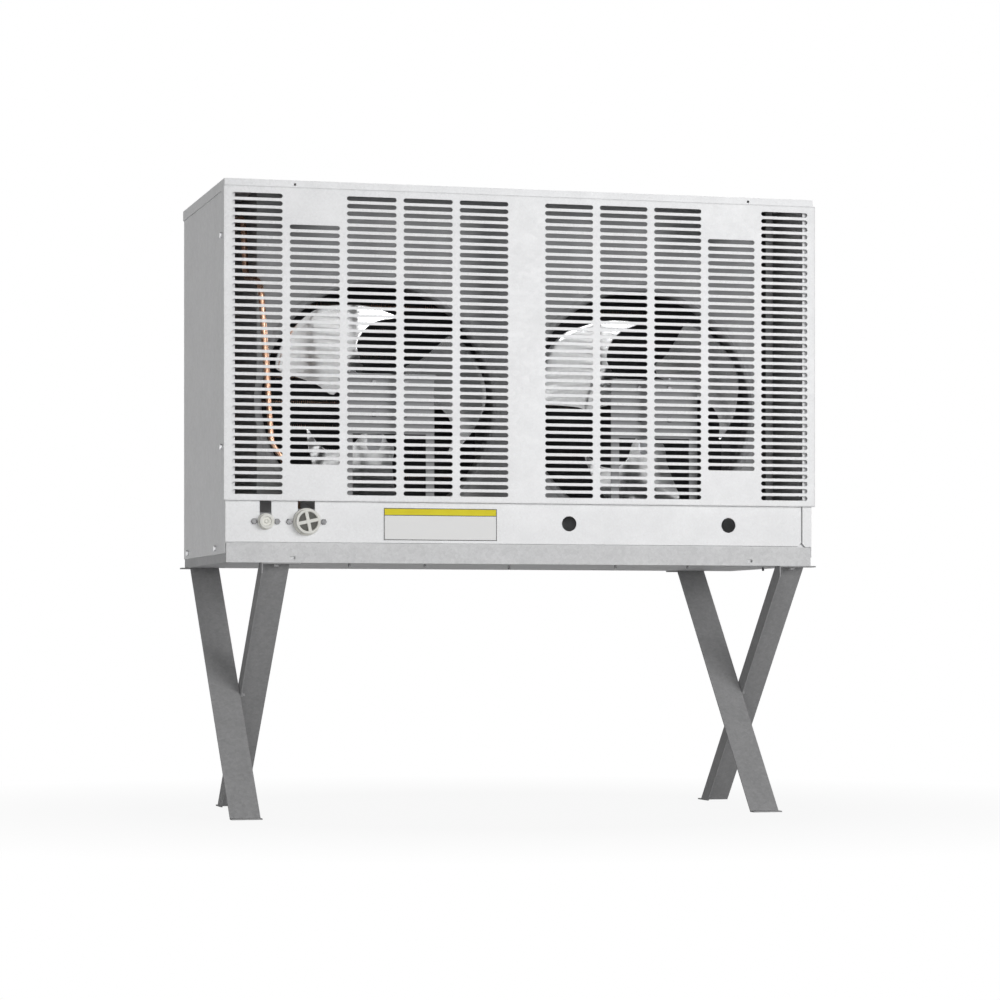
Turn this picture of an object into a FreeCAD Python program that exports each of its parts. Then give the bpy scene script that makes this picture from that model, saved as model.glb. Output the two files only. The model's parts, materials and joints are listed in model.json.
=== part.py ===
import FreeCAD, Part
import math
import os
import re
import Sketcher

# Remote condenser: a two-fan, air-cooled condenser in a galvanized cabinet on crossed legs.
# Frame: millimetres, +X to the right seen from the louvred front, +Y to the back, +Z up,
# origin on the ground under the middle of the cabinet.

vec = FreeCAD.Vector
doc = FreeCAD.newDocument("RemoteCondenser")
sheet = doc.addObject("Spreadsheet::Sheet", "Sizes")

# Driving dimensions, all in millimetres unless the note says otherwise.
sizes = {
    # cabinet
    "CabWidth": 900, "CabDepth": 370, "CabTall": 555, "Sheet": 1.0, "Gap": 0.3,
    "PanLip": 28, "PanelLap": 15, "FrontLip": 14.6, "RearLip": 25, "RearLipWide": 76,
    "CoverLip": 15, "CoverFrontLip": 10,
    # crossed legs
    "LegTall": 372, "LegWidth": 45, "LegFlange": 25.4, "LegSheet": 2, "LegInset": 7,
    "FootReach": 16, "TopReach": 22, "TopEar": 13, "FootIn": 1, "TopIn": 19,
    "LegBoltBore": 7, "FootBore": 7, "BoltLong": 12,
    # louvred front panel
    "GrilleTall": 455, "GrilleProud": 6.3, "GrilleOver": 3.5, "GrilleWrap": 20, "GrilleDrop": 0.5,
    "SlotLong": 74.2, "SlotTall": 6.5, "SlotPitch": 11, "SlotRows": 40, "ShortRows": 32,
    "SlotTop": 13.5, "ColumnPitch": 84.7, "MidStrip": 56.4,
    "WrapScrewSet": 15, "WrapScrewTop": 71.5, "WrapScrewLow": 77.5,
    # valve panel and what it carries
    "ValveLap": 14, "ValveTuck": 13.5, "FittingRise": 59.5, "SmallInset": 59.3, "BigInset": 119.5,
    "SmallSlot": 17, "BigSlot": 25, "KnockBore": 22.2, "KnockRise": 60.5,
    "KnockNear": 67.5, "KnockFar": 317.5, "LabelWide": 171, "LabelTall": 47, "LabelInset": 235,
    "LabelRise": 34, "LabelThick": 0.4,
    # fan shroud and fans
    "ShroudSet": 87, "ShroudLeft": 388, "ShroudLip": 15, "FanBore": 346, "FanSpread": 408,
    "FanRise": 242, "CollarDeep": 26, "VenturiFlare": 8, "FanDia": 336, "BladeThick": 1.2,
    "HubDia": 32, "HubLong": 18, "ShaftDia": 8, "ShaftGap": 0.05, "ArmWide": 26, "ArmThick": 2,
    "BladeRoot": 42, "BladePitch": 24,
    # motors on their brackets
    "BracketSet": 13, "BracketSheet": 2, "BracketWide": 136, "BracketTall": 82, "BracketLeg": 22,
    "BracketFoot": 24, "BracketDrop": 7, "MotorDia": 84, "MotorLong": 56, "MotorBell": 60,
    "StudCircle": 66,
    # coil
    "CoilLeft": 372, "CoilRight": 424, "CoilDeep": 60, "CoilBack": 10, "CoilTall": 538,
    "CoilFoot": 7, "FinGroove": 4, "FinGrooveWide": 6, "FinPitch": 13.2, "FinGrooves": 60,
    "PlateSheet": 1.5, "TubeDia": 9.5, "TubePitch": 38.1, "TubeRows": 14, "BankPitch": 30,
    "HeaderDia": 15.9,
    # couplings and caps
    "BigCapDia": 36, "SmallCapDia": 21.5, "BigCapLong": 15.7, "SmallCapLong": 12.7, "CapWall": 3,
    "CollarThick": 2.5, "ThreadGap": 0.1, "SealThick": 1.5, "FlangeThick": 3, "BigFlangeWide": 66, "SmallFlangeWide": 46,
    "BigFlangeTall": 38, "SmallFlangeTall": 26, "BigScrews": 51, "SmallScrews": 34,
    "LineDia": 9.5, "BendRadius": 26,
    # junction box and screws
    "BoxWide": 84, "BoxTall": 52, "BoxDeep": 44, "SideScrewRear": 37, "SideScrewFront": 81,
    "SideScrewDrop": 6, "CoverScrewIn": 13,
    "ScrewDia": 4, "HeadAcross": 8, "HeadTall": 3, "BoltDia": 6, "BoltAcross": 10, "BoltHead": 4,
}
for row, (alias, number) in enumerate(sizes.items(), start=1):
    sheet.set("A%d" % row, alias)
    sheet.set("B%d" % row, str(number))
    sheet.setAlias("B%d" % row, alias)
doc.recompute()

# Places that several pieces share, written once in terms of the sizes.
front = "(-CabDepth / 2)"
back = "(CabDepth / 2)"
side = "(CabWidth / 2)"
floorTop = "(LegTall + Sheet)"
lipTop = "(LegTall + PanLip)"
cabTop = "(LegTall + CabTall)"
coverUnder = "(LegTall + CabTall - Sheet)"
grilleTop = "(LegTall + CabTall - CoverFrontLip - GrilleDrop)"
grilleFoot = "(LegTall + CabTall - CoverFrontLip - GrilleDrop - GrilleTall)"
valveFace = "(-CabDepth / 2 + Sheet + Gap)"
valveRear = "(-CabDepth / 2 + 2 * Sheet + Gap)"
fanHeight = "(LegTall + FanRise)"
shroudFace = "(-CabDepth / 2 + ShroudSet)"
bracketFace = "(-CabDepth / 2 + BracketSet)"
bracketRear = "(-CabDepth / 2 + BracketSet + BracketSheet)"
fitHeight = "(LegTall + FittingRise)"
smallX = "(-CabWidth / 2 + SmallInset)"
bigX = "(-CabWidth / 2 + BigInset)"
coilRear = "(CabDepth / 2 - CoilBack)"
coilFront = "(CabDepth / 2 - CoilBack - CoilDeep)"
coilFloor = "(LegTall + Sheet + CoilFoot)"

# How finely the bent pipes are faceted: sides round a pipe, and degrees of bend to a chord.
TubeSides = 12
ChordTurn = 15

probe = doc.addObject("App::VarSet", "Probe")
probe.addProperty("App::PropertyFloat", "Number")


def named(text):
    """Put the sheet's name before each size in an expression."""
    return re.sub(r"[A-Z]\w*", lambda word: "Sizes." + word.group(0), text)


def at(text):
    """The number that an expression in the sizes stands for."""
    probe.setExpression("Number", named(text))
    probe.recompute()
    return probe.Number


def newBody(label):
    body = doc.addObject("PartDesign::Body", label)
    body.Label = label
    return body


def plane(body, role):
    return [item for item in body.Origin.OriginFeatures if item.Role == role][0]


def newSketch(body, role, offset):
    """A sketch on one of the body's own planes, moved along that plane's normal."""
    sketch = body.newObject("Sketcher::SketchObject", body.Label + "_sketch")
    sketch.AttachmentSupport = [(plane(body, role), "")]
    sketch.MapMode = "FlatFace"
    sketch.setExpression("AttachmentOffset.Base.z", named(offset))
    return sketch


def addOutline(sketch, points):
    """A closed outline whose corners are bound to expressions."""
    first = sketch.GeometryCount
    numbers = [vec(at(u), at(v), 0) for u, v in points]
    for index, start in enumerate(numbers):
        end = numbers[(index + 1) % len(numbers)]
        sketch.addGeometry(Part.LineSegment(start, end), False)
    for index, (u, v) in enumerate(points):
        line = first + index
        after = first + (index + 1) % len(points)
        sketch.addConstraint(Sketcher.Constraint("Coincident", line, 2, after, 1))
        for kind, text, number in (("DistanceX", u, numbers[index].x),
                                   ("DistanceY", v, numbers[index].y)):
            place = sketch.addConstraint(Sketcher.Constraint(kind, -1, 1, line, 1, number))
            sketch.setExpression("Constraints[%d]" % place, named(text))


def addBox(sketch, left, right, low, high):
    addOutline(sketch, [(left, low), (right, low), (right, high), (left, high)])


def addHole(sketch, across, u, v):
    """A round hole or disc whose width and centre are bound to expressions."""
    centre = vec(at(u), at(v), 0)
    ring = sketch.addGeometry(Part.Circle(centre, vec(0, 0, 1), at(across) / 2), False)
    for kind, text, number in (("DistanceX", u, centre.x), ("DistanceY", v, centre.y)):
        place = sketch.addConstraint(Sketcher.Constraint(kind, -1, 1, ring, 3, number))
        sketch.setExpression("Constraints[%d]" % place, named(text))
    place = sketch.addConstraint(Sketcher.Constraint("Diameter", ring, at(across)))
    sketch.setExpression("Constraints[%d]" % place, named(across))


def addHexagon(sketch, across, u, v):
    """A hexagon by its width across flats. Screw holes have it too: the heads hide them."""
    flat = "({0} / 2)".format(across)
    tip = "({0} / sqrt(3))".format(across)
    corners = [("+ " + tip, ""), ("+ {0} / 2".format(tip), "+ " + flat), ("- {0} / 2".format(tip), "+ " + flat),
               ("- " + tip, ""), ("- {0} / 2".format(tip), "- " + flat), ("+ {0} / 2".format(tip), "- " + flat)]
    addOutline(sketch, [("{0} {1}".format(u, du), "{0} {1}".format(v, dv)) for du, dv in corners])


def addPad(body, sketch, length, reverse=False):
    pad = body.newObject("PartDesign::Pad", body.Label + "_pad")
    pad.Profile = sketch
    pad.setExpression("Length", named(length))
    pad.Reversed = reverse
    pad.Refine = False
    doc.recompute()
    return pad


def addPocket(body, sketch, length, reverse=False):
    """Cut a sketch out of the body, and stop if the cut missed it."""
    before = body.Shape.Volume
    pocket = body.newObject("PartDesign::Pocket", body.Label + "_pocket")
    pocket.Profile = sketch
    pocket.setExpression("Length", named(length))
    pocket.Reversed = reverse
    pocket.Refine = False
    doc.recompute()
    if not body.Shape.Volume < before:
        raise RuntimeError("a pocket of " + body.Label + " cuts nothing")
    return pocket


def addRows(body, feature, sketch, axis, length, count, reverse=False):
    """Repeat a feature along one of its sketch's axes."""
    rows = body.newObject("PartDesign::LinearPattern", body.Label + "_rows")
    rows.Originals = [feature]
    rows.Direction = (sketch, [axis])
    rows.Reversed = reverse
    rows.setExpression("Length", named(length))
    rows.setExpression("Occurrences", named(count))
    rows.Refine = False
    body.Tip = rows
    doc.recompute()
    return rows


def feature(label, shape):
    """A sub-part whose form is worked out below from the sizes."""
    item = doc.addObject("Part::Feature", label)
    item.Label = label
    item.Shape = shape
    item.Placement = shape.Placement
    return item


# Cabinet

def basePan():
    """The tray under the cabinet: floor, lips on four sides, bolt, drain and screw holes."""
    body = newBody("base_pan")
    edge = "({0} - Sheet - Gap)".format(side)
    outer = newSketch(body, "XY_Plane", "LegTall")
    addBox(outer, "-" + edge, edge, front, back)
    addPad(body, outer, "PanLip")
    inner = newSketch(body, "XY_Plane", lipTop)
    addBox(inner, "-{0} + Sheet".format(edge), "{0} - Sheet".format(edge),
           front + " + Sheet", back + " - Sheet")
    addPocket(body, inner, "PanLip - Sheet")
    holes = newSketch(body, "XY_Plane", floorTop)
    for x, y in legBoltPlaces():
        addHexagon(holes, "LegBoltBore", x, y)
    for x, y in shroudScrewPlaces() + bracketScrewPlaces():
        addHexagon(holes, "(ScrewDia + Gap)", x, y)
    for sign in ("-", ""):
        addHole(holes, "ScrewDia * 2", sign + "(CabWidth / 4)", "0")
    addPocket(body, holes, "Sheet")
    for sign, hand in (("-", -1), ("", 1)):
        screws = newSketch(body, "YZ_Plane", sign + edge)
        for y, z in sideScrewPlaces():
            addHexagon(screws, "(ScrewDia + Gap)", y, z)
        addPocket(body, screws, "Sheet", reverse=hand < 0)
    slots = newSketch(body, "XZ_Plane", "-" + front)
    for sign in ("-", ""):
        middle = sign + "(CabWidth / 2 - 6.5 * FrontLip - ScrewDia)"
        addBox(slots, middle + " - ScrewDia", middle + " + ScrewDia",
               "LegTall + PanLip / 4 - ScrewDia / 2", "LegTall + PanLip / 4 + ScrewDia / 2")
    addPocket(body, slots, "Sheet")
    return body


def shroudScrewPlaces():
    """Screws through the shroud's lower lip, in plan."""
    depth = "({0} + ShroudLip / 2)".format(shroudFace)
    return [("(-ShroudLeft + 2 * FrontLip)", depth), ("0", depth), ("({0} - 3 * FrontLip)".format(side), depth)]


def bracketScrewPlaces():
    """One screw in the middle of each bracket foot, in plan."""
    reach = "(BracketWide / 2 - BracketLeg / 2)"
    depth = "({0} + BracketSheet + BracketFoot / 2)".format(bracketFace)
    return [("{0} {1} {2}".format(fanMiddle(hand), sign, reach), depth)
            for hand in (-1, 1) for sign in ("-", "+")]


def sideScrewPlaces():
    """The two screws that hold each side panel to the lip of the pan: depth and height."""
    height = "({0} - SideScrewDrop)".format(lipTop)
    return [("({0} - SideScrewRear)".format(back), height), ("({0} + SideScrewFront)".format(front), height)]


def wrapScrewPlaces():
    """The two screws that hold each wrap of the louvred panel: depth and height."""
    depth = "({0} - GrilleProud + WrapScrewSet)".format(front)
    return [(depth, "({0} - WrapScrewTop)".format(grilleTop)), (depth, "({0} + WrapScrewLow)".format(grilleFoot))]


def sidePanel(label, hand):
    """A side wall with a lip at the front and one at the back."""
    body = newBody(label)
    plan = newSketch(body, "XY_Plane", "{0} - PanelLap".format(lipTop))
    frontEdge = front if hand > 0 else valveRear + " + Gap"
    lip = "RearLip" if hand > 0 else "RearLipWide"
    sign = "" if hand > 0 else "-"
    outer = sign + side
    inner = sign + "({0} - Sheet)".format(side)
    frontTip = sign + "({0} - FrontLip)".format(side)
    rearTip = sign + "({0} - {1})".format(side, lip)
    addOutline(plan, [(outer, frontEdge), (outer, back), (rearTip, back), (rearTip, back + " - Sheet"),
                      (inner, back + " - Sheet"), (inner, frontEdge + " + Sheet"),
                      (frontTip, frontEdge + " + Sheet"), (frontTip, frontEdge)])
    addPad(body, plan, "{0} - Gap - {1} + PanelLap".format(coverUnder, lipTop))
    notch = newSketch(body, "XY_Plane", "{0} - PanelLap".format(lipTop))
    for low, high in ((front, valveRear + " + 2 * Sheet"), (back + " - Sheet", back)):
        edges = (sign + "({0} - RearLipWide)".format(side), inner)
        left, right = edges if hand > 0 else edges[::-1]
        addBox(notch, left, right, low, high)
    addPocket(body, notch, "PanelLap + Gap", reverse=True)
    screws = newSketch(body, "YZ_Plane", outer)
    for y, z in sideScrewPlaces() + wrapScrewPlaces():
        addHexagon(screws, "(ScrewDia + Gap)", y, z)
    addPocket(body, screws, "Sheet", reverse=hand < 0)
    rear = newSketch(body, "XZ_Plane", "-" + back)
    addHexagon(rear, "(ScrewDia + Gap)", *coverScrewPlace(sign))
    addPocket(body, rear, "Sheet", reverse=True)
    if hand > 0:
        chamfer = newSketch(body, "XZ_Plane", "-" + front)
        corner = "({0} - FrontLip)".format(side)
        low = "({0} + Gap)".format(lipTop)
        addOutline(chamfer, [(corner, low), (corner + " + FrontLip / 3", low),
                             (corner, low + " + FrontLip / 3")])
        addPocket(body, chamfer, "Sheet")
    return body


def coverScrewPlace(sign):
    return "{0}({1} - CoverScrewIn)".format(sign, side), "({0} - CoverLip / 2)".format(cabTop)


def topCover():
    """The lid: a shallow pan turned over the side walls, its front lip cut shorter."""
    body = newBody("top_cover")
    reach = "(Sheet + Gap)"
    outer = newSketch(body, "XY_Plane", "{0} - CoverLip".format(cabTop))
    addBox(outer, "-{0} - {1}".format(side, reach), "{0} + {1}".format(side, reach),
           "{0} - {1}".format(front, reach), "{0} + {1}".format(back, reach))
    addPad(body, outer, "CoverLip")
    inner = newSketch(body, "XY_Plane", "{0} - CoverLip".format(cabTop))
    addBox(inner, "-{0} - Gap".format(side), "{0} + Gap".format(side), front + " - Gap", back + " + Gap")
    addPocket(body, inner, "CoverLip - Sheet", reverse=True)
    trim = newSketch(body, "XY_Plane", "{0} - CoverLip".format(cabTop))
    addBox(trim, "-{0} - {1}".format(side, reach), "{0} + {1}".format(side, reach),
           "{0} - {1}".format(front, reach), front + " - Gap")
    addPocket(body, trim, "CoverLip - CoverFrontLip", reverse=True)
    rear = newSketch(body, "XZ_Plane", "-({0} + {1})".format(back, reach))
    for sign in ("-", ""):
        addHexagon(rear, "(ScrewDia + Gap)", *coverScrewPlace(sign))
    addPocket(body, rear, "Sheet", reverse=True)
    lip = newSketch(body, "XZ_Plane", "-({0} - {1})".format(front, reach))
    for sign in ("-", ""):
        addHole(lip, "ScrewDia", sign + "({0} - 7 * FrontLip)".format(side),
                "({0} - CoverFrontLip * 0.6)".format(cabTop))
    addPocket(body, lip, "Sheet")
    return body


def columnMiddle(sign, count):
    return "{0}(MidStrip / 2 + SlotLong / 2 + {1} * ColumnPitch)".format(sign, count)


def grillePanel():
    """The louvred front: a shallow pan with ten columns of long slots, two of them shorter."""
    body = newBody("front_louver_panel")
    edge = "({0} + GrilleOver)".format(side)
    faceOut = "({0} - GrilleProud)".format(front)
    outer = newSketch(body, "XZ_Plane", "-" + faceOut)
    addBox(outer, "-" + edge, edge, grilleFoot, grilleTop)
    addPad(body, outer, "GrilleWrap", reverse=True)
    inner = newSketch(body, "XZ_Plane", "-({0} + GrilleWrap)".format(faceOut))
    addBox(inner, "-{0} + Sheet".format(edge), "{0} - Sheet".format(edge),
           grilleFoot + " + Sheet", grilleTop + " - Sheet")
    addPocket(body, inner, "GrilleWrap - Sheet", reverse=True)
    trim = newSketch(body, "XZ_Plane", "-({0} + GrilleWrap)".format(faceOut))
    for low, high in ((grilleFoot, grilleFoot + " + Sheet"), (grilleTop + " - Sheet", grilleTop)):
        addBox(trim, "-" + edge, edge, low, high)
    addPocket(body, trim, "GrilleWrap - GrilleProud + Gap", reverse=True)
    for sign, hand in (("-", -1), ("", 1)):
        screws = newSketch(body, "YZ_Plane", sign + edge)
        for y, z in wrapScrewPlaces():
            addHexagon(screws, "(ScrewDia + Gap)", y, z)
        addPocket(body, screws, "Sheet", reverse=hand < 0)
    longRow = "({0} - SlotTop)".format(grilleTop)
    shortRow = "({0} - SlotTop - (SlotRows - ShortRows) / 2 * SlotPitch)".format(grilleTop)
    for row, columns, count in ((longRow, (0, 1, 2, 4), "SlotRows"), (shortRow, (3,), "ShortRows")):
        slots = newSketch(body, "XZ_Plane", "-" + faceOut)
        for sign in ("-", ""):
            for column in columns:
                middle = columnMiddle(sign, column)
                addBox(slots, middle + " - SlotLong / 2", middle + " + SlotLong / 2",
                       row + " - SlotTall / 2", row + " + SlotTall / 2")
        cut = addPocket(body, slots, "Sheet")
        addRows(body, cut, slots, "V_Axis", "({0} - 1) * SlotPitch".format(count), count, reverse=True)
    return body


def valvePanel():
    """The low front panel: slots for the two couplings and two knock-out holes."""
    body = newBody("valve_panel")
    outer = newSketch(body, "XZ_Plane", "-" + valveFace)
    top = "({0} + ValveTuck)".format(grilleFoot)
    tuck = "({0} - 2 * Sheet - 2 * Gap)".format(side)
    low = "({0} - ValveLap)".format(lipTop)
    step = "({0} + Gap)".format(lipTop)
    addOutline(outer, [("-" + tuck, low), (tuck, low), (tuck, step), (side + " - Sheet - 2 * Gap", step),
                       (side + " - Sheet - 2 * Gap", top), ("-" + side, top), ("-" + side, step),
                       ("-" + tuck, step)])
    addPad(body, outer, "Sheet", reverse=True)
    holes = newSketch(body, "XZ_Plane", "-" + valveFace)
    for middle, wide, screws in ((smallX, "SmallSlot", "SmallScrews"), (bigX, "BigSlot", "BigScrews")):
        left = "({0} - {1} / 2)".format(middle, wide)
        right = "({0} + {1} / 2)".format(middle, wide)
        low = "({0} - {1} / 2)".format(fitHeight, wide)
        chamfer = "({0} / 4)".format(wide)
        addOutline(holes, [(left, top), (left, "{0} + {1}".format(low, chamfer)),
                           ("{0} + {1}".format(left, chamfer), low),
                           ("{0} - {1}".format(right, chamfer), low),
                           (right, "{0} + {1}".format(low, chamfer)), (right, top)])
        for sign in ("-", "+"):
            addHexagon(holes, "(ScrewDia + Gap)", "{0} {1} {2} / 2".format(middle, sign, screws), fitHeight)
    for x in ("KnockNear", "KnockFar"):
        addHole(holes, "KnockBore", x, "LegTall + KnockRise")
    addPocket(body, holes, "Sheet")
    return body


def blankLabel():
    """The plain sticker on the valve panel, without any lettering."""
    body = newBody("blank_label")
    outline = newSketch(body, "XZ_Plane", "-" + valveFace)
    left = "(-CabWidth / 2 + LabelInset)"
    addBox(outline, left, left + " + LabelWide", "LegTall + LabelRise", "LegTall + LabelRise + LabelTall")
    addPad(body, outline, "LabelThick")
    return body


# Crossed legs

def legLeft(index):
    """Left edge of a leg: the two pairs are alike, the second is moved across."""
    pair = "(-{0} + LegInset)".format(side)
    if index >= 2:
        pair = "({0} - LegInset - 2 * LegWidth - 2 * Gap)".format(side)
    return "({0} + {1} * (LegWidth + 2 * Gap))".format(pair, index % 2)


def legBoltPlaces():
    """Middle of the bolt through each leg's top tab, in plan."""
    places = []
    for index in range(4):
        sign = "" if index % 2 == 0 else "-"
        places.append(("{0} + LegWidth / 2".format(legLeft(index)),
                       "{0}({1} - TopIn + TopReach / 2)".format(sign, back)))
    return places


def crossedLeg(label, index):
    """An angle leg that leans from one side at its top to the other at its foot."""
    body = newBody(label)
    sign = "" if index % 2 == 0 else "-"
    flip = "-" if index % 2 == 0 else ""
    slope = "((CabDepth - FootIn - TopIn) / (LegTall - 2 * LegSheet))"
    skew = "sqrt(1 + {0} * {0})".format(slope)
    foot = "(-{0} + FootIn)".format(back)

    def face(height, shift):
        return "({0} + ({1} - LegSheet) * {2} + {3} * {4})".format(foot, height, slope, shift, skew)

    tabEnd = "({0} + TopReach - TopIn)".format(back)
    strip = [("({0} - FootReach)".format(foot), "0"), ("({0} - FootReach)".format(foot), "LegSheet"),
             (foot, "LegSheet"), (face("LegTall", "0"), "LegTall"), (tabEnd, "LegTall"),
             (tabEnd, "LegTall - LegSheet"),
             (face("(LegTall - LegSheet)", "LegSheet"), "LegTall - LegSheet"), (face("0", "LegSheet"), "0")]
    web = newSketch(body, "YZ_Plane", legLeft(index))
    addOutline(web, [(sign + y, z) for y, z in strip])
    addPad(body, web, "LegWidth")
    flangeLeft = legLeft(index) if index % 2 else "({0} + LegWidth - LegSheet)".format(legLeft(index))
    flange = newSketch(body, "YZ_Plane", flangeLeft)
    clip = "(LegSheet + ({0} - {1} - LegFlange * {2}) / {3})".format(tabEnd, foot, skew, slope)
    corners = [(face("0", "0"), "0"), (face("(LegTall - LegSheet)", "0"), "LegTall - LegSheet"),
               (tabEnd, "LegTall - LegSheet"), (tabEnd, clip), (face("0", "LegFlange"), "0")]
    addOutline(flange, [(sign + y, z) for y, z in corners])
    addPad(body, flange, "LegSheet")
    ear = newSketch(body, "XY_Plane", "LegTall")
    earLeft = "({0} - TopEar)".format(legLeft(index)) if index % 2 == 0 else \
        "({0} + LegWidth)".format(legLeft(index))
    low = "({0} - TopIn + LegSheet)".format(back)
    edges = (low, tabEnd) if index % 2 == 0 else ("-" + tabEnd, "-" + low)
    addBox(ear, earLeft, earLeft + " + TopEar", edges[0], edges[1])
    addPad(body, ear, "LegSheet", reverse=True)
    holes = newSketch(body, "XY_Plane", "LegTall")
    addHexagon(holes, "LegBoltBore", *legBoltPlaces()[index])
    addPocket(body, holes, "LegSheet")
    anchor = newSketch(body, "XY_Plane", "LegSheet")
    addHole(anchor, "FootBore", "{0} + LegWidth / 2".format(legLeft(index)),
            "{0}({1} - FootReach / 2)".format(sign, foot))
    addPocket(body, anchor, "LegSheet")
    cross = newSketch(body, "YZ_Plane", flangeLeft)
    addHexagon(cross, "LegBoltBore", "0", crossHeight())
    addPocket(body, cross, "LegSheet", reverse=True)
    return body


def crossHeight():
    """Height of the bolt where the two flanges of a pair cross."""
    slope = "((CabDepth - FootIn - TopIn) / (LegTall - 2 * LegSheet))"
    skew = "sqrt(1 + {0} * {0})".format(slope)
    return "(LegSheet + ({0} - FootIn) / {1} - LegFlange / 2 * {2} / {1})".format(back, slope, skew)


# Fan shroud, motors and fans

def fanMiddle(hand):
    return "({0}FanSpread / 2)".format("-" if hand < 0 else "")


def fanShroud():
    """The wall behind the fans: two flared round openings and a lip all round."""
    body = newBody("fan_shroud")
    right = "({0} - 2 * Sheet - 2 * Gap)".format(side)
    low = "({0} + Gap)".format(floorTop)
    high = "({0} - Gap)".format(coverUnder)
    outer = newSketch(body, "XZ_Plane", "-{0}".format(shroudFace))
    addBox(outer, "-ShroudLeft", right, low, high)
    addPad(body, outer, "ShroudLip", reverse=True)
    inner = newSketch(body, "XZ_Plane", "-({0} + Sheet)".format(shroudFace))
    addBox(inner, "-ShroudLeft + Sheet", right + " - Sheet", low + " + Sheet", high + " - Sheet")
    addPocket(body, inner, "ShroudLip - Sheet")
    holes = newSketch(body, "XZ_Plane", "-{0}".format(shroudFace))
    for hand in (-1, 1):
        addHole(holes, "FanBore + 2 * VenturiFlare", fanMiddle(hand), fanHeight)
    addPocket(body, holes, "Sheet")
    screws = newSketch(body, "XY_Plane", low + " + Sheet")
    for x, y in shroudScrewPlaces():
        addHexagon(screws, "(ScrewDia + Gap)", x, y)
    addPocket(body, screws, "Sheet")
    for hand in (-1, 1):
        ring = newSketch(body, "YZ_Plane", fanMiddle(hand))
        face = shroudFace
        inside = "({0} + FanBore / 2)".format(fanHeight)
        addOutline(ring, [(face, inside + " + VenturiFlare"), (face + " + VenturiFlare", inside),
                          (face + " + CollarDeep", inside), (face + " + CollarDeep", inside + " + Sheet"),
                          (face + " + VenturiFlare + Sheet / 2", inside + " + Sheet"),
                          (face, inside + " + VenturiFlare + 1.5 * Sheet")])
        axis = newSketch(body, "YZ_Plane", fanMiddle(hand))
        start = vec(at(face), at(fanHeight), 0)
        axis.addGeometry(Part.LineSegment(start, start + vec(1, 0, 0)), False)
        for kind, text, number in (("DistanceX", face, start.x), ("DistanceY", fanHeight, start.y)):
            place = axis.addConstraint(Sketcher.Constraint(kind, -1, 1, 0, 1, number))
            axis.setExpression("Constraints[%d]" % place, named(text))
        axis.addConstraint(Sketcher.Constraint("Horizontal", 0))
        turn = body.newObject("PartDesign::Revolution", "fan_shroud_ring")
        turn.Profile = ring
        turn.ReferenceAxis = (axis, ["Edge1"])
        turn.Angle = 360
        turn.Refine = False
        doc.recompute()
    return body


def plenumBaffle():
    """The wall that closes the air space between the shroud and the coil at the pipe end."""
    body = newBody("plenum_baffle")
    plan = newSketch(body, "XY_Plane", floorTop + " + Gap")
    inner = "(-ShroudLeft + Sheet + Gap)"
    start = "({0} + ShroudLip + Gap)".format(shroudFace)
    end = "({0} - Gap)".format(coilFront)
    addOutline(plan, [(inner, start), (inner + " + Sheet", start), (inner + " + Sheet", end),
                      (inner, end)])
    addPad(body, plan, "{0} - Gap - {1} - Gap".format(coverUnder, floorTop))
    return body


def motorBracket(label, hand):
    """The stand that holds a motor: a pierced plate on two legs with turned-out feet."""
    body = newBody(label)
    middle = fanMiddle(hand)
    low = "({0} + Gap)".format(floorTop)
    left = "({0} - BracketWide / 2)".format(middle)
    right = "({0} + BracketWide / 2)".format(middle)
    top = "({0} - BracketDrop + BracketTall / 2)".format(fanHeight)
    sill = "({0} - BracketDrop - BracketTall / 2)".format(fanHeight)
    outline = newSketch(body, "XZ_Plane", "-{0}".format(bracketFace))
    addOutline(outline, [(left, low), (left + " + BracketLeg", low), (left + " + BracketLeg", sill),
                         (right + " - BracketLeg", sill), (right + " - BracketLeg", low),
                         (right, low), (right, top), (left, top)])
    addPad(body, outline, "BracketSheet", reverse=True)
    feet = newSketch(body, "XZ_Plane", "-{0}".format(bracketFace))
    addBox(feet, left, left + " + BracketLeg", low, low + " + BracketSheet")
    addBox(feet, right + " - BracketLeg", right, low, low + " + BracketSheet")
    addPad(body, feet, "BracketFoot", reverse=True)
    lip = newSketch(body, "XZ_Plane", "-{0}".format(bracketFace))
    addBox(lip, left, right, top + " - BracketSheet", top)
    addPad(body, lip, "BracketFoot / 3")
    holes = newSketch(body, "XZ_Plane", "-{0}".format(bracketFace))
    addHole(holes, "ShaftDia * 3", middle, fanHeight)
    for dx, dz in studPlaces():
        addHexagon(holes, "(ScrewDia + Gap)", "{0} {1}".format(middle, dx), "{0} {1}".format(fanHeight, dz))
    for sign in ("-", "+"):
        addHole(holes, "ShaftDia * 1.2", "{0} {1} BracketWide / 2.7".format(middle, sign),
                "{0} - BracketDrop - BracketTall / 3".format(fanHeight))
    addPocket(body, holes, "BracketSheet")
    screws = newSketch(body, "XY_Plane", low + " + BracketSheet")
    for x, y in bracketScrewPlaces()[:2] if hand < 0 else bracketScrewPlaces()[2:]:
        addHexagon(screws, "(ScrewDia + Gap)", x, y)
    addPocket(body, screws, "BracketSheet")
    return body


def studPlaces():
    """Offsets of the four motor screws from the fan axis."""
    reach = "StudCircle / 2 * sqrt(0.5)"
    return [(x + reach, z + reach) for x in ("- ", "+ ") for z in ("- ", "+ ")]


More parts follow.
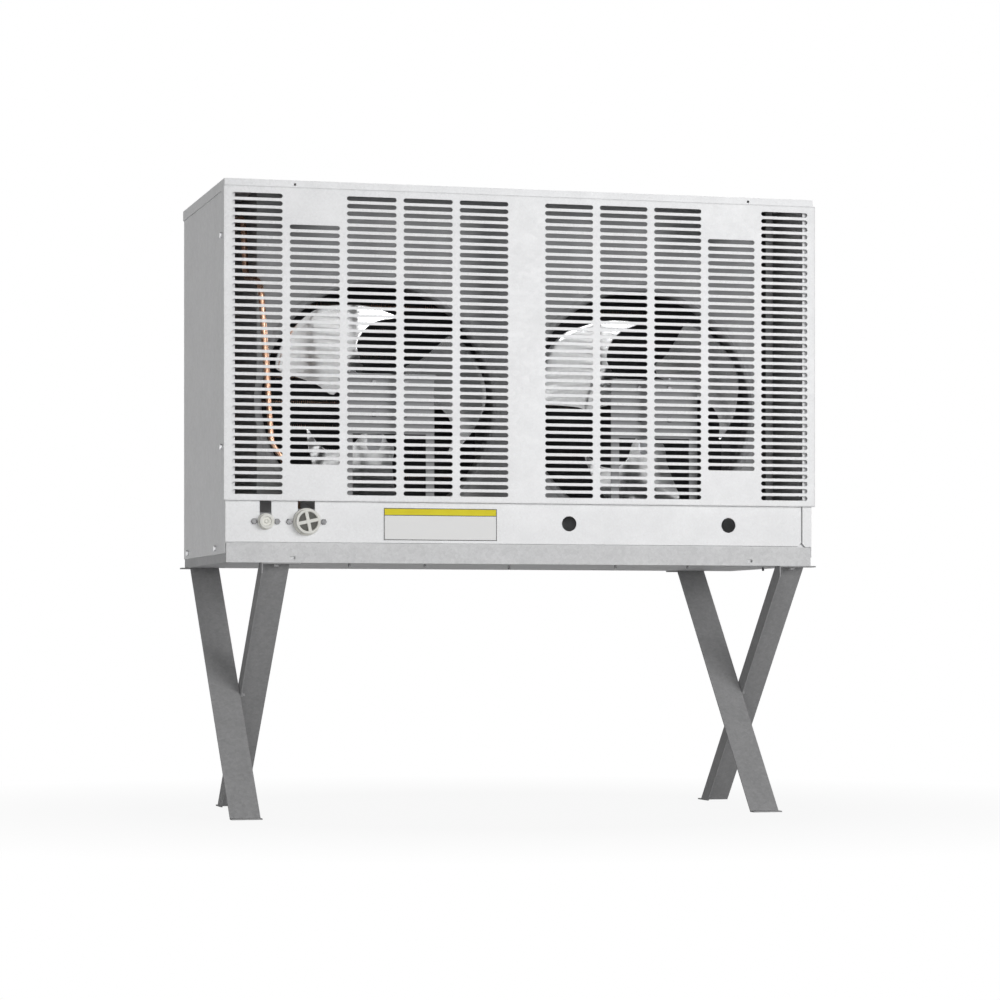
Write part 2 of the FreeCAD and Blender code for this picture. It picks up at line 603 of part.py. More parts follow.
def fanMotor(label, hand):
    """A closed motor: a ribbed can with end bells and a bearing bore for the shaft."""
    start = at(bracketRear)
    length = sizes["MotorLong"]
    radius = sizes["MotorDia"] / 2
    bell = sizes["MotorBell"] / 2
    step = sizes["BracketSheet"] * 3
    bore = sizes["ShaftDia"] / 2 + sizes["ShaftGap"]
    pocket = length - step
    profile = [(bore, length), (bore, length - pocket), (0, length - pocket), (0, 0), (radius - step, 0),
               (radius, step), (radius, length - 2 * step), (bell, length)]
    points = [vec(r, y, 0) for r, y in profile]
    shape = Part.Face(Part.makePolygon(points + points[:1])).revolve(vec(0, 0, 0), vec(0, 1, 0), 360)
    reach = sizes["StudCircle"] / 2 * math.sqrt(0.5)
    for x in (-reach, reach):
        for z in (-reach, reach):
            hole = hexRod(sizes["ScrewDia"] + sizes["Gap"], step)
            hole.Placement = FreeCAD.Placement(vec(x, 0, z), FreeCAD.Rotation(vec(0, 0, 1), vec(0, 1, 0)))
            shape = shape.cut(hole)
    shape.translate(vec(at(fanMiddle(hand)), start, at(fanHeight)))
    return feature(label, shape)


def hubStart():
    """Front face of the hub, so that the blades straddle the plane of the shroud."""
    return at(bracketRear) + sizes["MotorLong"] + 3 * sizes["Gap"] + sizes["Sheet"]


def fanShaft(label, hand):
    body = newBody(label)
    ring = newSketch(body, "XZ_Plane", "-({0} + BracketSheet * 3 + Gap)".format(bracketRear))
    addHole(ring, "ShaftDia", fanMiddle(hand), fanHeight)
    addPad(body, ring, "MotorLong - BracketSheet * 3 + 2 * Gap + Sheet + HubLong", reverse=True)
    return body


def fanHub(label, hand, turn):
    """The hub and its three pitched arms, which carry the blades."""
    long = sizes["HubLong"]
    outer = sizes["HubDia"] / 2
    hub = Part.makeCylinder(outer, long, vec(0, 0, 0), vec(0, 1, 0))
    arms = hub
    for blade in range(3):
        arm = Part.makeBox(sizes["BladeRoot"] + 1.2 * sizes["ArmWide"] - outer / 2, sizes["ArmThick"],
                           sizes["ArmWide"])
        arm.translate(vec(outer / 2, -sizes["ArmThick"], -sizes["ArmWide"] / 2))
        arm.rotate(vec(0, 0, 0), vec(1, 0, 0), sizes["BladePitch"])
        arm.translate(vec(0, long / 2, 0))
        arm.rotate(vec(0, 0, 0), vec(0, 1, 0), -turn - 120 * blade)
        arms = arms.fuse(arm)
    bore = sizes["ShaftDia"] / 2 + sizes["ShaftGap"]
    shape = arms.cut(Part.makeCylinder(bore, long * 3, vec(0, -long, 0), vec(0, 1, 0)))
    shape.translate(vec(at(fanMiddle(hand)), hubStart(), at(fanHeight)))
    return feature(label, shape)


def bladeSection(reach, half, lead, twist, camber):
    """One closed section of a blade, square to its radial line."""
    thick = sizes["BladeThick"]
    tilt = math.radians(twist)
    line = []
    for part in (-1, -0.4, 0.4, 1):
        across = lead + half * part
        line.append((across, camber * (1 - part * part)))
    ring = line + [(u, w + thick) for u, w in reversed(line)]
    return [vec(reach, u * -math.sin(tilt) + w * math.cos(tilt),
                u * math.cos(tilt) + w * math.sin(tilt)) for u, w in ring]


def skinOver(rings):
    """A solid whose skin is flat triangles between closed rings of corners."""
    faces = []
    for inner, outer in zip(rings, rings[1:]):
        for k in range(len(inner)):
            after = (k + 1) % len(inner)
            faces.append([inner[k], inner[after], outer[after]])
            faces.append([inner[k], outer[after], outer[k]])
    for ring in (rings[0], rings[-1]):
        half = len(ring) // 2
        for k in range(half - 1):
            faces.append([ring[k], ring[k + 1], ring[-k - 2], ring[-k - 1]])
    shell = Part.Shell([Part.Face(Part.makePolygon(face + face[:1])) for face in faces])
    solid = Part.Solid(shell)
    if solid.Volume < 0:
        solid.reverse()
    return solid


def fanBlades(label, hand, turn):
    """Three pitched paddle blades, flat where they lie on the arms and hollow further out."""
    root = sizes["BladeRoot"]
    tip = sizes["FanDia"] / 2
    pitch = sizes["BladePitch"]
    flatEnd = root + 1.2 * sizes["ArmWide"]
    stations = [
        (root, 0.75 * sizes["ArmWide"], 0, pitch, 0),
        (flatEnd, 0.28 * tip, 0, pitch, 0),
        (0.62 * tip, 0.40 * tip, 0.02 * tip, pitch - 2, 0.02 * tip),
        (0.82 * tip, 0.42 * tip, 0.05 * tip, pitch - 4, 0.035 * tip),
        (0.93 * tip, 0.27 * tip, 0.06 * tip, pitch - 5, 0.03 * tip),
        (0.985 * tip, 0.08 * tip, 0.06 * tip, pitch - 5, 0.022 * tip),
    ]
    blades = []
    for blade in range(3):
        paddle = skinOver([bladeSection(*station) for station in stations])
        paddle.translate(vec(0, sizes["HubLong"] / 2, 0))
        paddle.rotate(vec(0, 0, 0), vec(0, 1, 0), -turn - 120 * blade)
        paddle.translate(vec(at(fanMiddle(hand)), hubStart(), at(fanHeight)))
        blades.append(paddle)
    return feature(label, Part.makeCompound(blades))


# Coil

def coilCore():
    """The finned block, with the fins cut as grooves in the face that looks out at the back."""
    body = newBody("coil_core")
    plan = newSketch(body, "XY_Plane", coilFloor)
    left = "-CoilLeft"
    addBox(plan, left, "CoilRight", coilFront + " + 2 * Sheet", coilRear + " - 2 * Sheet")
    addPad(body, plan, "CoilTall")
    groove = newSketch(body, "XY_Plane", coilFloor)
    start = "(-CoilLeft + FinGrooveWide)"
    addBox(groove, start, start + " + FinGrooveWide", coilRear + " - 2 * Sheet - FinGroove",
           coilRear + " - 2 * Sheet")
    cut = addPocket(body, groove, "CoilTall", reverse=True)
    addRows(body, cut, groove, "H_Axis", "(FinGrooves - 1) * FinPitch", "FinGrooves")
    return body


def coilEndPlate(label, hand):
    """The channel at one end of the coil, which carries the tubes."""
    body = newBody(label)
    plan = newSketch(body, "XY_Plane", floorTop + " + Gap")
    face = "(-CoilLeft)" if hand < 0 else "(CoilRight)"
    out = "-" if hand < 0 else "+"
    into = "+" if hand < 0 else "-"
    skin = "({0} {1} PlateSheet)".format(face, out)
    lip = "({0} {1} FrontLip)".format(face, into)
    lap = "(0.95 * Sheet)"
    addOutline(plan, [(skin, coilFront), (lip, coilFront), (lip, coilFront + " + " + lap),
                      (face, coilFront + " + " + lap), (face, coilRear + " - " + lap),
                      (lip, coilRear + " - " + lap), (lip, coilRear), (skin, coilRear)])
    addPad(body, plan, "{0} - Gap - {1} - Gap".format(coverUnder, floorTop))
    return body


def tubeHeight(row):
    """Height of a tube row, counted from the top."""
    middle = at(coilFloor) + sizes["CoilTall"] / 2
    return middle + ((sizes["TubeRows"] - 1) / 2 - row) * sizes["TubePitch"]


def bankDepth(bank):
    return (at(coilFront) + at(coilRear)) / 2 + (bank - 0.5) * sizes["BankPitch"]


def returnBends(label, hand, firstRow):
    """U bends that join the tubes two by two at one end of the coil."""
    skin = sizes["PlateSheet"]
    start = -sizes["CoilLeft"] - skin if hand < 0 else sizes["CoilRight"] + skin
    radius = sizes["TubeDia"] / 2
    half = sizes["TubePitch"] / 2
    reach = half * 0.9
    bends = []
    for bank in range(2):
        for row in range(firstRow, int(sizes["TubeRows"]) - 1 - firstRow + 1, 2):
            if row + 1 > sizes["TubeRows"] - 1 - firstRow:
                continue
            middle = (tubeHeight(row) + tubeHeight(row + 1)) / 2
            path = [(0, half), (0.5, half), (1, half * 0.45), (1, -half * 0.45), (0.5, -half), (0, -half)]
            points = [vec(start + hand * reach * out, bankDepth(bank), middle + up) for out, up in path]
            ring = [vec(start, bankDepth(bank) + radius * math.cos(math.radians(60 * turn)),
                        middle + half + radius * math.sin(math.radians(60 * turn))) for turn in range(7)]
            bends.append(Part.Wire(Part.makePolygon(points)).makePipeShell(
                [Part.makePolygon(ring)], True, False, 1))
    return feature(label, Part.makeCompound(bends))


def tubeLine(points, radius):
    """The middle line of a bent tube: straight runs joined by round bends of short chords."""
    line = [points[0]]
    for before, corner, after in zip(points, points[1:], points[2:]):
        come = vec(corner - before).normalize()
        leave = vec(after - corner).normalize()
        turn = come.getAngle(leave)
        room = min(radius * math.tan(turn / 2), 0.45 * corner.distanceToPoint(before),
                   0.45 * corner.distanceToPoint(after))
        bend = room / math.tan(turn / 2)
        start = corner - come * room
        inward = vec(leave - come).normalize()
        centre = corner + inward * (bend / math.cos(turn / 2))
        count = max(1, round(turn / math.radians(ChordTurn)))
        for k in range(count + 1):
            spin = FreeCAD.Rotation(come.cross(leave), math.degrees(turn * k / count))
            line.append(centre + spin.multVec(start - centre))
    return line + [points[-1]]


def tubeAlong(points, dia):
    """A bent tube with a skin of narrow flat facets, so that a long pipe stays light."""
    line = tubeLine(points, sizes["BendRadius"])
    ahead = vec(line[1] - line[0]).normalize()
    side = vec(ahead.cross(vec(0, 0, 1))).normalize()
    rings = []
    for k, point in enumerate(line):
        heading = vec(line[min(k + 1, len(line) - 1)] - line[max(k - 1, 0)]).normalize()
        side = vec(side - heading * side.dot(heading)).normalize()
        up = heading.cross(side)
        turns = [2 * math.pi * j / TubeSides for j in range(TubeSides)]
        rings.append([point + (side * math.cos(turn) + up * math.sin(turn)) * (dia / 2) for turn in turns])
    faces = []
    for near, far in zip(rings, rings[1:]):
        for j in range(TubeSides):
            after = (j + 1) % TubeSides
            faces.append([near[j], near[after], far[after]])
            faces.append([near[j], far[after], far[j]])
    faces += [rings[0], rings[-1]]
    solid = Part.Solid(Part.Shell([Part.Face(Part.makePolygon(face + face[:1])) for face in faces]))
    if solid.Volume < 0:
        solid.reverse()
    return solid


# Pipework

def headerX():
    return -sizes["CoilLeft"] - sizes["PlateSheet"] - 1.5 * sizes["HeaderDia"]


def header(label, row):
    """A short manifold that joins the two tube banks at the pipe end of the coil."""
    height = tubeHeight(row)
    reach = sizes["HeaderDia"] * 0.75
    start = bankDepth(0) - reach
    long = sizes["BankPitch"] + 2 * reach
    foot = vec(headerX(), start, height)
    shape = tubeAlong([foot, foot + vec(0, long, 0)], sizes["HeaderDia"])
    stub = -sizes["CoilLeft"] - sizes["PlateSheet"] - headerX()
    for bank in range(2):
        branch = vec(headerX(), bankDepth(bank), height)
        shape = shape.fuse(tubeAlong([branch, branch + vec(stub, 0, 0)], sizes["TubeDia"]))
    return feature(label, shape.removeSplitter())


def headerFront(row):
    return vec(headerX(), bankDepth(0) - sizes["HeaderDia"] * 0.75, tubeHeight(row))


def couplingRear(middle):
    return vec(at(middle), at(valveRear) + sizes["FlangeThick"] + 22, at(fitHeight))


def dischargeLine():
    """The hot gas pipe, from the large coupling up the open side to the top of the coil."""
    start = couplingRear(bigX)
    plane = at(shroudFace) - 52
    edge = -sizes["ShroudLeft"]
    axis = at(fanHeight)
    points = [start, start + vec(0, 34, 0), vec(edge + 50, plane + 8, axis - 118),
              vec(edge + 13, plane, axis - 66), vec(edge - 4, plane, axis + 165),
              vec(headerX() - 1, plane + 30, axis + 262), vec(headerX() - 1, plane + 150, axis + 280),
              headerFront(0) - vec(0, 40, 0), headerFront(0)]
    return feature("discharge_line", tubeAlong(points, sizes["LineDia"]))


def liquidLine():
    """The liquid pipe, from the foot of the coil forward to the small coupling."""
    start = couplingRear(smallX)
    end = headerFront(sizes["TubeRows"] - 1)
    points = [start, start + vec(0, 30, 0), vec(headerX(), at(shroudFace) + 20, start.z - 12),
              vec(headerX() - 2, (end.y + start.y) / 2 + 60, end.z + 6), end - vec(0, 30, 0), end]
    return feature("liquid_line", tubeAlong(points, sizes["LineDia"]))


def coupling(label, middle, cap, slot):
    """A screw coupling: threaded nose, neck in the panel's slot, hexagon and pipe socket."""
    body = newBody(label)
    nose = "({0} - {1}Long + CapWall + SealThick + Gap)".format(capRear(), cap)
    steps = [(nose, "({0} * 1.12)".format(slot) if cap == "BigCap" else "({0} - 2)".format(slot),
              "({0} - Gap - {1})".format(valveFace, nose)),
             ("({0} - Gap)".format(valveFace), "({0} - 2)".format(slot), "(Sheet + Gap + FlangeThick)"),
             ("({0} + FlangeThick)".format(valveRear), "({0} + 5)".format(slot), "10"),
             ("({0} + FlangeThick + 10)".format(valveRear), "(LineDia + 3)", "12")]
    for step, (start, across, length) in enumerate(steps):
        ring = newSketch(body, "XZ_Plane", "-{0}".format(start))
        (addHexagon if step == 2 else addHole)(ring, across, middle, fitHeight)
        addPad(body, ring, length, reverse=True)
    return body


def couplingFlange(label, middle, slot, size, screws):
    """The eared plate that holds a coupling behind the valve panel."""
    body = newBody(label)
    outline = newSketch(body, "XZ_Plane", "-{0}".format(valveRear))
    wide = "({0}FlangeWide / 2)".format(size)
    tall = "({0}FlangeTall / 2)".format(size)
    ear = "({0} / 3)".format(tall)
    corners = [("- " + wide, "- " + ear), ("- {0} / 2".format(wide), "- " + tall),
               ("+ {0} / 2".format(wide), "- " + tall), ("+ " + wide, "- " + ear),
               ("+ " + wide, "+ " + ear), ("+ {0} / 2".format(wide), "+ " + tall),
               ("- {0} / 2".format(wide), "+ " + tall), ("- " + wide, "+ " + ear)]
    addOutline(outline, [("{0} {1}".format(middle, u), "{0} {1}".format(fitHeight, v))
                         for u, v in corners])
    addPad(body, outline, "FlangeThick", reverse=True)
    holes = newSketch(body, "XZ_Plane", "-{0}".format(valveRear))
    addHole(holes, "({0} - 2 + Gap)".format(slot), middle, fitHeight)
    for sign in ("-", "+"):
        addHexagon(holes, "(ScrewDia + Gap)", "{0} {1} {2} / 2".format(middle, sign, screws), fitHeight)
    addPocket(body, holes, "FlangeThick")
    return body


def capRear():
    return "({0} - 2 * Gap)".format(valveFace)


def dustCap(label, middle, cap, slot, spokes, turn):
    """A moulded screw cap: a rim, a waist and a rear collar, with a cross in the large one's hollow face."""
    body = newBody(label)
    face = "({0} - {1}Long)".format(capRear(), cap)
    for start, across, long in ((face, "({0}Dia * 0.92)".format(cap), cap + "Long"),
                                (face, cap + "Dia", "({0}Long / 2)".format(cap)),
                                ("({0} - CollarThick)".format(capRear()), "({0}Dia * 1.12)".format(cap),
                                 "CollarThick")):
        disc = newSketch(body, "XZ_Plane", "-{0}".format(start))
        addHole(disc, across, middle, fitHeight)
        addPad(body, disc, long, reverse=True)
    thread = "({0} * 1.12 + 2 * ThreadGap)".format(slot) if spokes else \
        "({0} - 2 + 2 * ThreadGap)".format(slot)
    bore = newSketch(body, "XZ_Plane", "-{0}".format(capRear()))
    addHole(bore, thread, middle, fitHeight)
    addPocket(body, bore, "{0}Long - CapWall".format(cap), reverse=True)
    dish = newSketch(body, "XZ_Plane", "-{0}".format(face))
    addHole(dish, "({0}Dia * 0.78)".format(cap) if spokes else "({0}Dia * 0.5)".format(cap),
            middle, fitHeight)
    addPocket(body, dish, "CapWall / 2")
    if spokes:
        cross = newSketch(body, "XZ_Plane", "-({0} + CapWall / 2)".format(face))
        reach = "({0}Dia * 0.4)".format(cap)
        half = "({0}Dia * 0.07)".format(cap)
        arms = [("-", half, "-", reach), ("+", half, "-", reach), ("+", half, "-", half),
                ("+", reach, "-", half), ("+", reach, "+", half), ("+", half, "+", half),
                ("+", half, "+", reach), ("-", half, "+", reach), ("-", half, "+", half),
                ("-", reach, "+", half), ("-", reach, "-", half), ("-", half, "-", half)]
        addOutline(cross, [("{0} {1} {2}".format(middle, su, u), "{0} {1} {2}".format(fitHeight, sv, v))
                           for su, u, sv, v in arms])
        addPad(body, cross, "CapWall / 2")
    centre = vec(at(middle), 0, at(fitHeight))
    body.Placement = FreeCAD.Placement(vec(), FreeCAD.Rotation(vec(0, 1, 0), turn), centre)
    return body


def capSeal(label, middle, cap, slot, spokes):
    """The rubber disc in the bottom of a dust cap."""
    body = newBody(label)
    start = "({0} - {1}Long + CapWall)".format(capRear(), cap)
    disc = newSketch(body, "XZ_Plane", "-{0}".format(start))
    across = "({0} * 1.12 - Gap)".format(slot) if spokes else "({0} - 2 - Gap)".format(slot)
    addHole(disc, across, middle, fitHeight)
    addPad(body, disc, "SealThick", reverse=True)
    return body


def junctionBox():
    """The sheet box behind the near knock-out, closed at its front by the valve panel."""
    body = newBody("junction_box")
    outline = newSketch(body, "XZ_Plane", "-{0}".format(valveRear))
    middle = "LegTall + KnockRise"
    addBox(outline, "KnockNear - BoxWide / 2", "KnockNear + BoxWide / 2",
           middle + " - BoxTall / 2", middle + " + BoxTall / 2")
    addPad(body, outline, "BoxDeep", reverse=True)
    hollow = newSketch(body, "XZ_Plane", "-{0}".format(valveRear))
    addBox(hollow, "KnockNear - BoxWide / 2 + Sheet", "KnockNear + BoxWide / 2 - Sheet",
           middle + " - BoxTall / 2 + Sheet", middle + " + BoxTall / 2 - Sheet")
    addPocket(body, hollow, "BoxDeep - Sheet")
    return body


# Fasteners

def hexRod(across, long):
    """A six-sided rod with the given width across its flats, along +Z from its origin."""
    corner = across / math.sqrt(3)
    ring = [vec(corner * math.cos(math.radians(60 * k)), corner * math.sin(math.radians(60 * k)), 0)
            for k in range(7)]
    return Part.Face(Part.makePolygon(ring)).extrude(vec(0, 0, long))


def hexScrew(seat, way, across, tall, dia, long):
    """A hexagon head on its seat, with a plain shank that runs the way given."""
    head = hexRod(across, tall)
    head.translate(vec(0, 0, -tall))
    shape = head.fuse(hexRod(dia * math.sqrt(3) / 2, long))
    shape.Placement = FreeCAD.Placement(seat, FreeCAD.Rotation(vec(0, 0, 1), way))
    return shape


def hexNut(seat, way, across, tall, bore):
    nut = hexRod(across, tall).cut(hexRod(bore, tall))
    nut.Placement = FreeCAD.Placement(seat, FreeCAD.Rotation(vec(0, 0, 1), way))
    return nut


def screwGroup(label, seats, way, long):
    screws = [hexScrew(seat, way, sizes["HeadAcross"], sizes["HeadTall"], sizes["ScrewDia"], long)
              for seat in seats]
    return feature(label, Part.makeCompound(screws))


def seat(x, y, z):
    return vec(at(x), at(y), at(z))


def sideScrews():
    """Screws in the lower edge of the side panels and in the wraps of the louvred panel."""
    screws = []
    grille = "({0} + GrilleOver)".format(side)
    for sign, hand in (("-", -1), ("", 1)):
        way = vec(-hand, 0, 0)
        for face, places, long in ((side, sideScrewPlaces(), 6), (grille, wrapScrewPlaces(), 8)):
            screws += [hexScrew(seat(sign + face, y, z), way, sizes["HeadAcross"], sizes["HeadTall"],
                                sizes["ScrewDia"], long) for y, z in places]
    return feature("side_screws", Part.makeCompound(screws))


def flangeScrews():
    seats = [seat("{0} {1} {2} / 2".format(middle, sign, screws), valveFace, fitHeight)
             for middle, screws in ((bigX, "BigScrews"), (smallX, "SmallScrews")) for sign in ("-", "+")]
    return screwGroup("flange_screws", seats, vec(0, 1, 0), sizes["FlangeThick"] + 3 * sizes["Sheet"])


def motorScrews():
    seats = [seat("{0} {1}".format(fanMiddle(hand), dx), bracketFace, "{0} {1}".format(fanHeight, dz))
             for hand in (-1, 1) for dx, dz in studPlaces()]
    return screwGroup("motor_screws", seats, vec(0, 1, 0), sizes["BracketSheet"] * 3)


def floorScrews():
    """Screws down through the feet of the brackets and the lower lip of the shroud."""
    low = "({0} + Gap)".format(floorTop)
    seats = [seat(x, y, low + " + BracketSheet") for x, y in bracketScrewPlaces()]
    seats += [seat(x, y, low + " + Sheet") for x, y in shroudScrewPlaces()]
    return screwGroup("floor_screws", seats, vec(0, 0, -1), sizes["BracketSheet"] * 4)


def coverScrews():
    seats = []
    for sign in ("-", ""):
        x, z = coverScrewPlace(sign)
        seats.append(seat(x, "({0} + Sheet + Gap)".format(back), z))
    return screwGroup("cover_screws", seats, vec(0, -1, 0), sizes["Sheet"] * 5)


def legBolts():
    """A bolt up through each top tab, and one across each pair of legs."""
    bolts = [hexScrew(seat(x, y, "LegTall - LegSheet"), vec(0, 0, 1), sizes["BoltAcross"],
                      sizes["BoltHead"], sizes["BoltDia"], sizes["BoltLong"]) for x, y in legBoltPlaces()]
    for index in (0, 2):
        face = "({0} + LegWidth - LegSheet)".format(legLeft(index))
        bolts.append(hexScrew(seat(face, "0", crossHeight()), vec(1, 0, 0), sizes["BoltAcross"],
                              sizes["BoltHead"], sizes["BoltDia"], sizes["BoltLong"]))
    return feature("leg_bolts", Part.makeCompound(bolts))


def legNuts():
    bore = sizes["BoltDia"] + 2 * sizes["ShaftGap"]
    nuts = [hexNut(seat(x, y, floorTop), vec(0, 0, 1), sizes["BoltAcross"], sizes["BoltHead"], bore)
            for x, y in legBoltPlaces()]
    for index in (1, 3):
        nuts.append(hexNut(seat("({0} + LegSheet)".format(legLeft(index)), "0", crossHeight()),
                           vec(1, 0, 0), sizes["BoltAcross"], sizes["BoltHead"], bore))
    return feature("leg_nuts", Part.makeCompound(nuts))


def build():
    """Make every sub-part, in the order of the assembly."""
    spin = {-1: 137, 1: 168}
    names = {-1: "left", 1: "right"}
    parts = [basePan(), sidePanel("side_panel_left", -1), sidePanel("side_panel_right", 1), topCover(),
             grillePanel(), valvePanel(), blankLabel(), fanShroud(), plenumBaffle(), junctionBox()]
    for hand in (-1, 1):
        tail = names[hand]
        parts += [motorBracket("motor_bracket_" + tail, hand), fanMotor("fan_motor_" + tail, hand),
                  fanShaft("fan_shaft_" + tail, hand), fanHub("fan_hub_" + tail, hand, spin[hand]),
                  fanBlades("fan_blades_" + tail, hand, spin[hand])]
    parts += [coilCore(), coilEndPlate("coil_end_plate_left", -1), coilEndPlate("coil_end_plate_right", 1),
              returnBends("return_bends_left", -1, 1), returnBends("return_bends_right", 1, 0),
              header("gas_header", 0), header("liquid_header", sizes["TubeRows"] - 1),
              dischargeLine(), liquidLine()]
    for name, middle, cap, slot, size, turn in (
            ("discharge", bigX, "BigCap", "BigSlot", "Big", 12),
            ("liquid", smallX, "SmallCap", "SmallSlot", "Small", 0)):
        spokes = size == "Big"
        parts += [coupling(name + "_coupling", middle, cap, slot),
                  couplingFlange(name + "_flange", middle, slot, size, size + "Screws"),
                  dustCap(name + "_cap", middle, cap, slot, spokes, turn),
                  capSeal(name + "_cap_seal", middle, cap, slot, spokes)]
    for index, label in enumerate(("leg_front_left", "leg_rear_left", "leg_front_right", "leg_rear_right")):
        parts.append(crossedLeg(label, index))
    parts += [sideScrews(), flangeScrews(), motorScrews(), floorScrews(), coverScrews(), legBolts(), legNuts()]
    return parts


def failures(parts):
    """Names of the objects that did not recompute, or whose shape is not sound."""
    bad = [item.Label for item in doc.Objects if set(item.State) & {"Invalid", "Error"}]
    for part in parts:
        if part.Shape.isNull() or not part.Shape.isValid():
            bad.append(part.Label + " shape")
    return bad


parts = build()
doc.recompute()
bad = failures(parts)
if bad:
    raise RuntimeError("not sound: " + ", ".join(bad))
os.makedirs("parts", exist_ok=True)
for part in parts:
    part.Shape.exportStep("parts/" + part.Label + ".step")
print("sub-parts written:", len(parts))
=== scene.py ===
import bpy
import bmesh
import json
import math
from mathutils import Matrix, Vector


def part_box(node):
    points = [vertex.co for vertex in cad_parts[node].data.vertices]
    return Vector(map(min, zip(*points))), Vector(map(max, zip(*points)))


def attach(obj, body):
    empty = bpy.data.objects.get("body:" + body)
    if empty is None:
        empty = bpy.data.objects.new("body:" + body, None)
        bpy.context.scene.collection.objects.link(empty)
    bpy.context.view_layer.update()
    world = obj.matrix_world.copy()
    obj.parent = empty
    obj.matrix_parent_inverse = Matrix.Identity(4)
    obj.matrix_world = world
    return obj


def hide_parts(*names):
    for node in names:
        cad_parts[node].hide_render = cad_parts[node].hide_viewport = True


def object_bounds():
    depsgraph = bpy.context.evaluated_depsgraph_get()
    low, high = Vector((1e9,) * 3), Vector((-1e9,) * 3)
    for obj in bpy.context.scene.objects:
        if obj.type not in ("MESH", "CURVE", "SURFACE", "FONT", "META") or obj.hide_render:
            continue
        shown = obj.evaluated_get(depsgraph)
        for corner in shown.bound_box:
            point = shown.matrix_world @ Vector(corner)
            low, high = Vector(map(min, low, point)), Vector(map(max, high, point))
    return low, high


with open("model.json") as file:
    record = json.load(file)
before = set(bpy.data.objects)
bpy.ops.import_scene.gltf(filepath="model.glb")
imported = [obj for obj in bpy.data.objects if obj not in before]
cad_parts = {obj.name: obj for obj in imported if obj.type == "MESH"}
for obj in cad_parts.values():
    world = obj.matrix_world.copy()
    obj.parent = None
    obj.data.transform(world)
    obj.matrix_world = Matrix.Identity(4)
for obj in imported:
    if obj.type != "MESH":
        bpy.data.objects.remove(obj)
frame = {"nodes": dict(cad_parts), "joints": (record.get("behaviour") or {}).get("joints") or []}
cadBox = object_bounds()
nodes = frame["nodes"]
mm = 0.001
quarter = math.pi / 2

# where the shared planes lie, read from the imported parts
grilleLow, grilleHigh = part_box("front_louver_panel")
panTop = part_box("base_pan")[1].z
coilLow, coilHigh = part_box("coil_core")
shroudLow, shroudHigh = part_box("fan_shroud")
valveLow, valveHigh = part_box("valve_panel")
fanAxis = {joint["child"]: Vector(joint["pos_m"]) for joint in frame["joints"] if joint.get("continuous")}
rootBody = "cabinet"
coilPlate = 1.5 * mm
print("frame loaded,", len(nodes), "parts")


def inMm(**sizes):
    # sizes written in millimetres, kept in metres
    return {name: size * mm for name, size in sizes.items()}


def middleOf(node):
    low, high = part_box(node)
    return (low + high) / 2


def newObject(name, data):
    thing = bpy.data.objects.new(name, data)
    bpy.context.scene.collection.objects.link(thing)
    return thing


# shaders

def newShader(name, metallic, specular=0.5):
    material = bpy.data.materials.new(name)
    material.use_nodes = True
    tree = material.node_tree
    surface = tree.nodes["Principled BSDF"]
    surface.inputs["Metallic"].default_value = metallic
    surface.inputs["Specular IOR Level"].default_value = specular
    return material, tree, surface


def addNode(tree, kind, inputs=None, **settings):
    node = tree.nodes.new("ShaderNode" + kind)
    for key, value in settings.items():
        setattr(node, key, value)
    for key, value in (inputs or {}).items():
        node.inputs[key].default_value = value
    return node


def placeOf(tree, stretch=(1, 1, 1)):
    # real-size coordinates in metres, stretched along an axis where the finish has a grain
    place = addNode(tree, "TexCoord")
    scale = addNode(tree, "Mapping", {"Scale": stretch})
    tree.links.new(place.outputs["Object"], scale.inputs["Vector"])
    return scale.outputs["Vector"]


def noiseOf(tree, where, size, detail=3.0, rough=0.55):
    noise = addNode(tree, "TexNoise", {"Scale": 1 / size, "Detail": detail, "Roughness": rough})
    tree.links.new(where, noise.inputs["Vector"])
    return noise.outputs["Fac"]


def spread(tree, value, low, high, start=0.3, end=0.7):
    # turns a pattern's middle range into the range that a socket needs
    ranged = addNode(tree, "MapRange",
                     {"From Min": start, "From Max": end, "To Min": low, "To Max": high})
    tree.links.new(value, ranged.inputs["Value"])
    return ranged.outputs["Result"]


def tint(tree, value, dark, light):
    mix = addNode(tree, "Mix", data_type="RGBA")
    mix.inputs["A"].default_value = (*dark, 1)
    mix.inputs["B"].default_value = (*light, 1)
    tree.links.new(value, mix.inputs["Factor"])
    return mix.outputs["Result"]


def colour(tree, surface, pattern, dark, light, rough):
    # a pattern drives colour from dark to light, and roughness through its own range
    tree.links.new(tint(tree, spread(tree, pattern, 0, 1), dark, light), surface.inputs["Base Color"])
    tree.links.new(spread(tree, pattern, *rough), surface.inputs["Roughness"])


def relief(tree, surface, height, depth):
    bump = addNode(tree, "Bump", {"Strength": 1.0, "Distance": depth})
    tree.links.new(height, bump.inputs["Height"])
    tree.links.new(bump.outputs["Normal"], surface.inputs["Normal"])


def sumOf(tree, first, second, share=0.5):
    mix = addNode(tree, "Mix", {"Factor": share})
    tree.links.new(first, mix.inputs["A"])
    tree.links.new(second, mix.inputs["B"])
    return mix.outputs["Result"]


zinc = {"smallSpangle": 0.4, "cloud": 0.04, "grain": 0.0006, "depth": 0.00004}


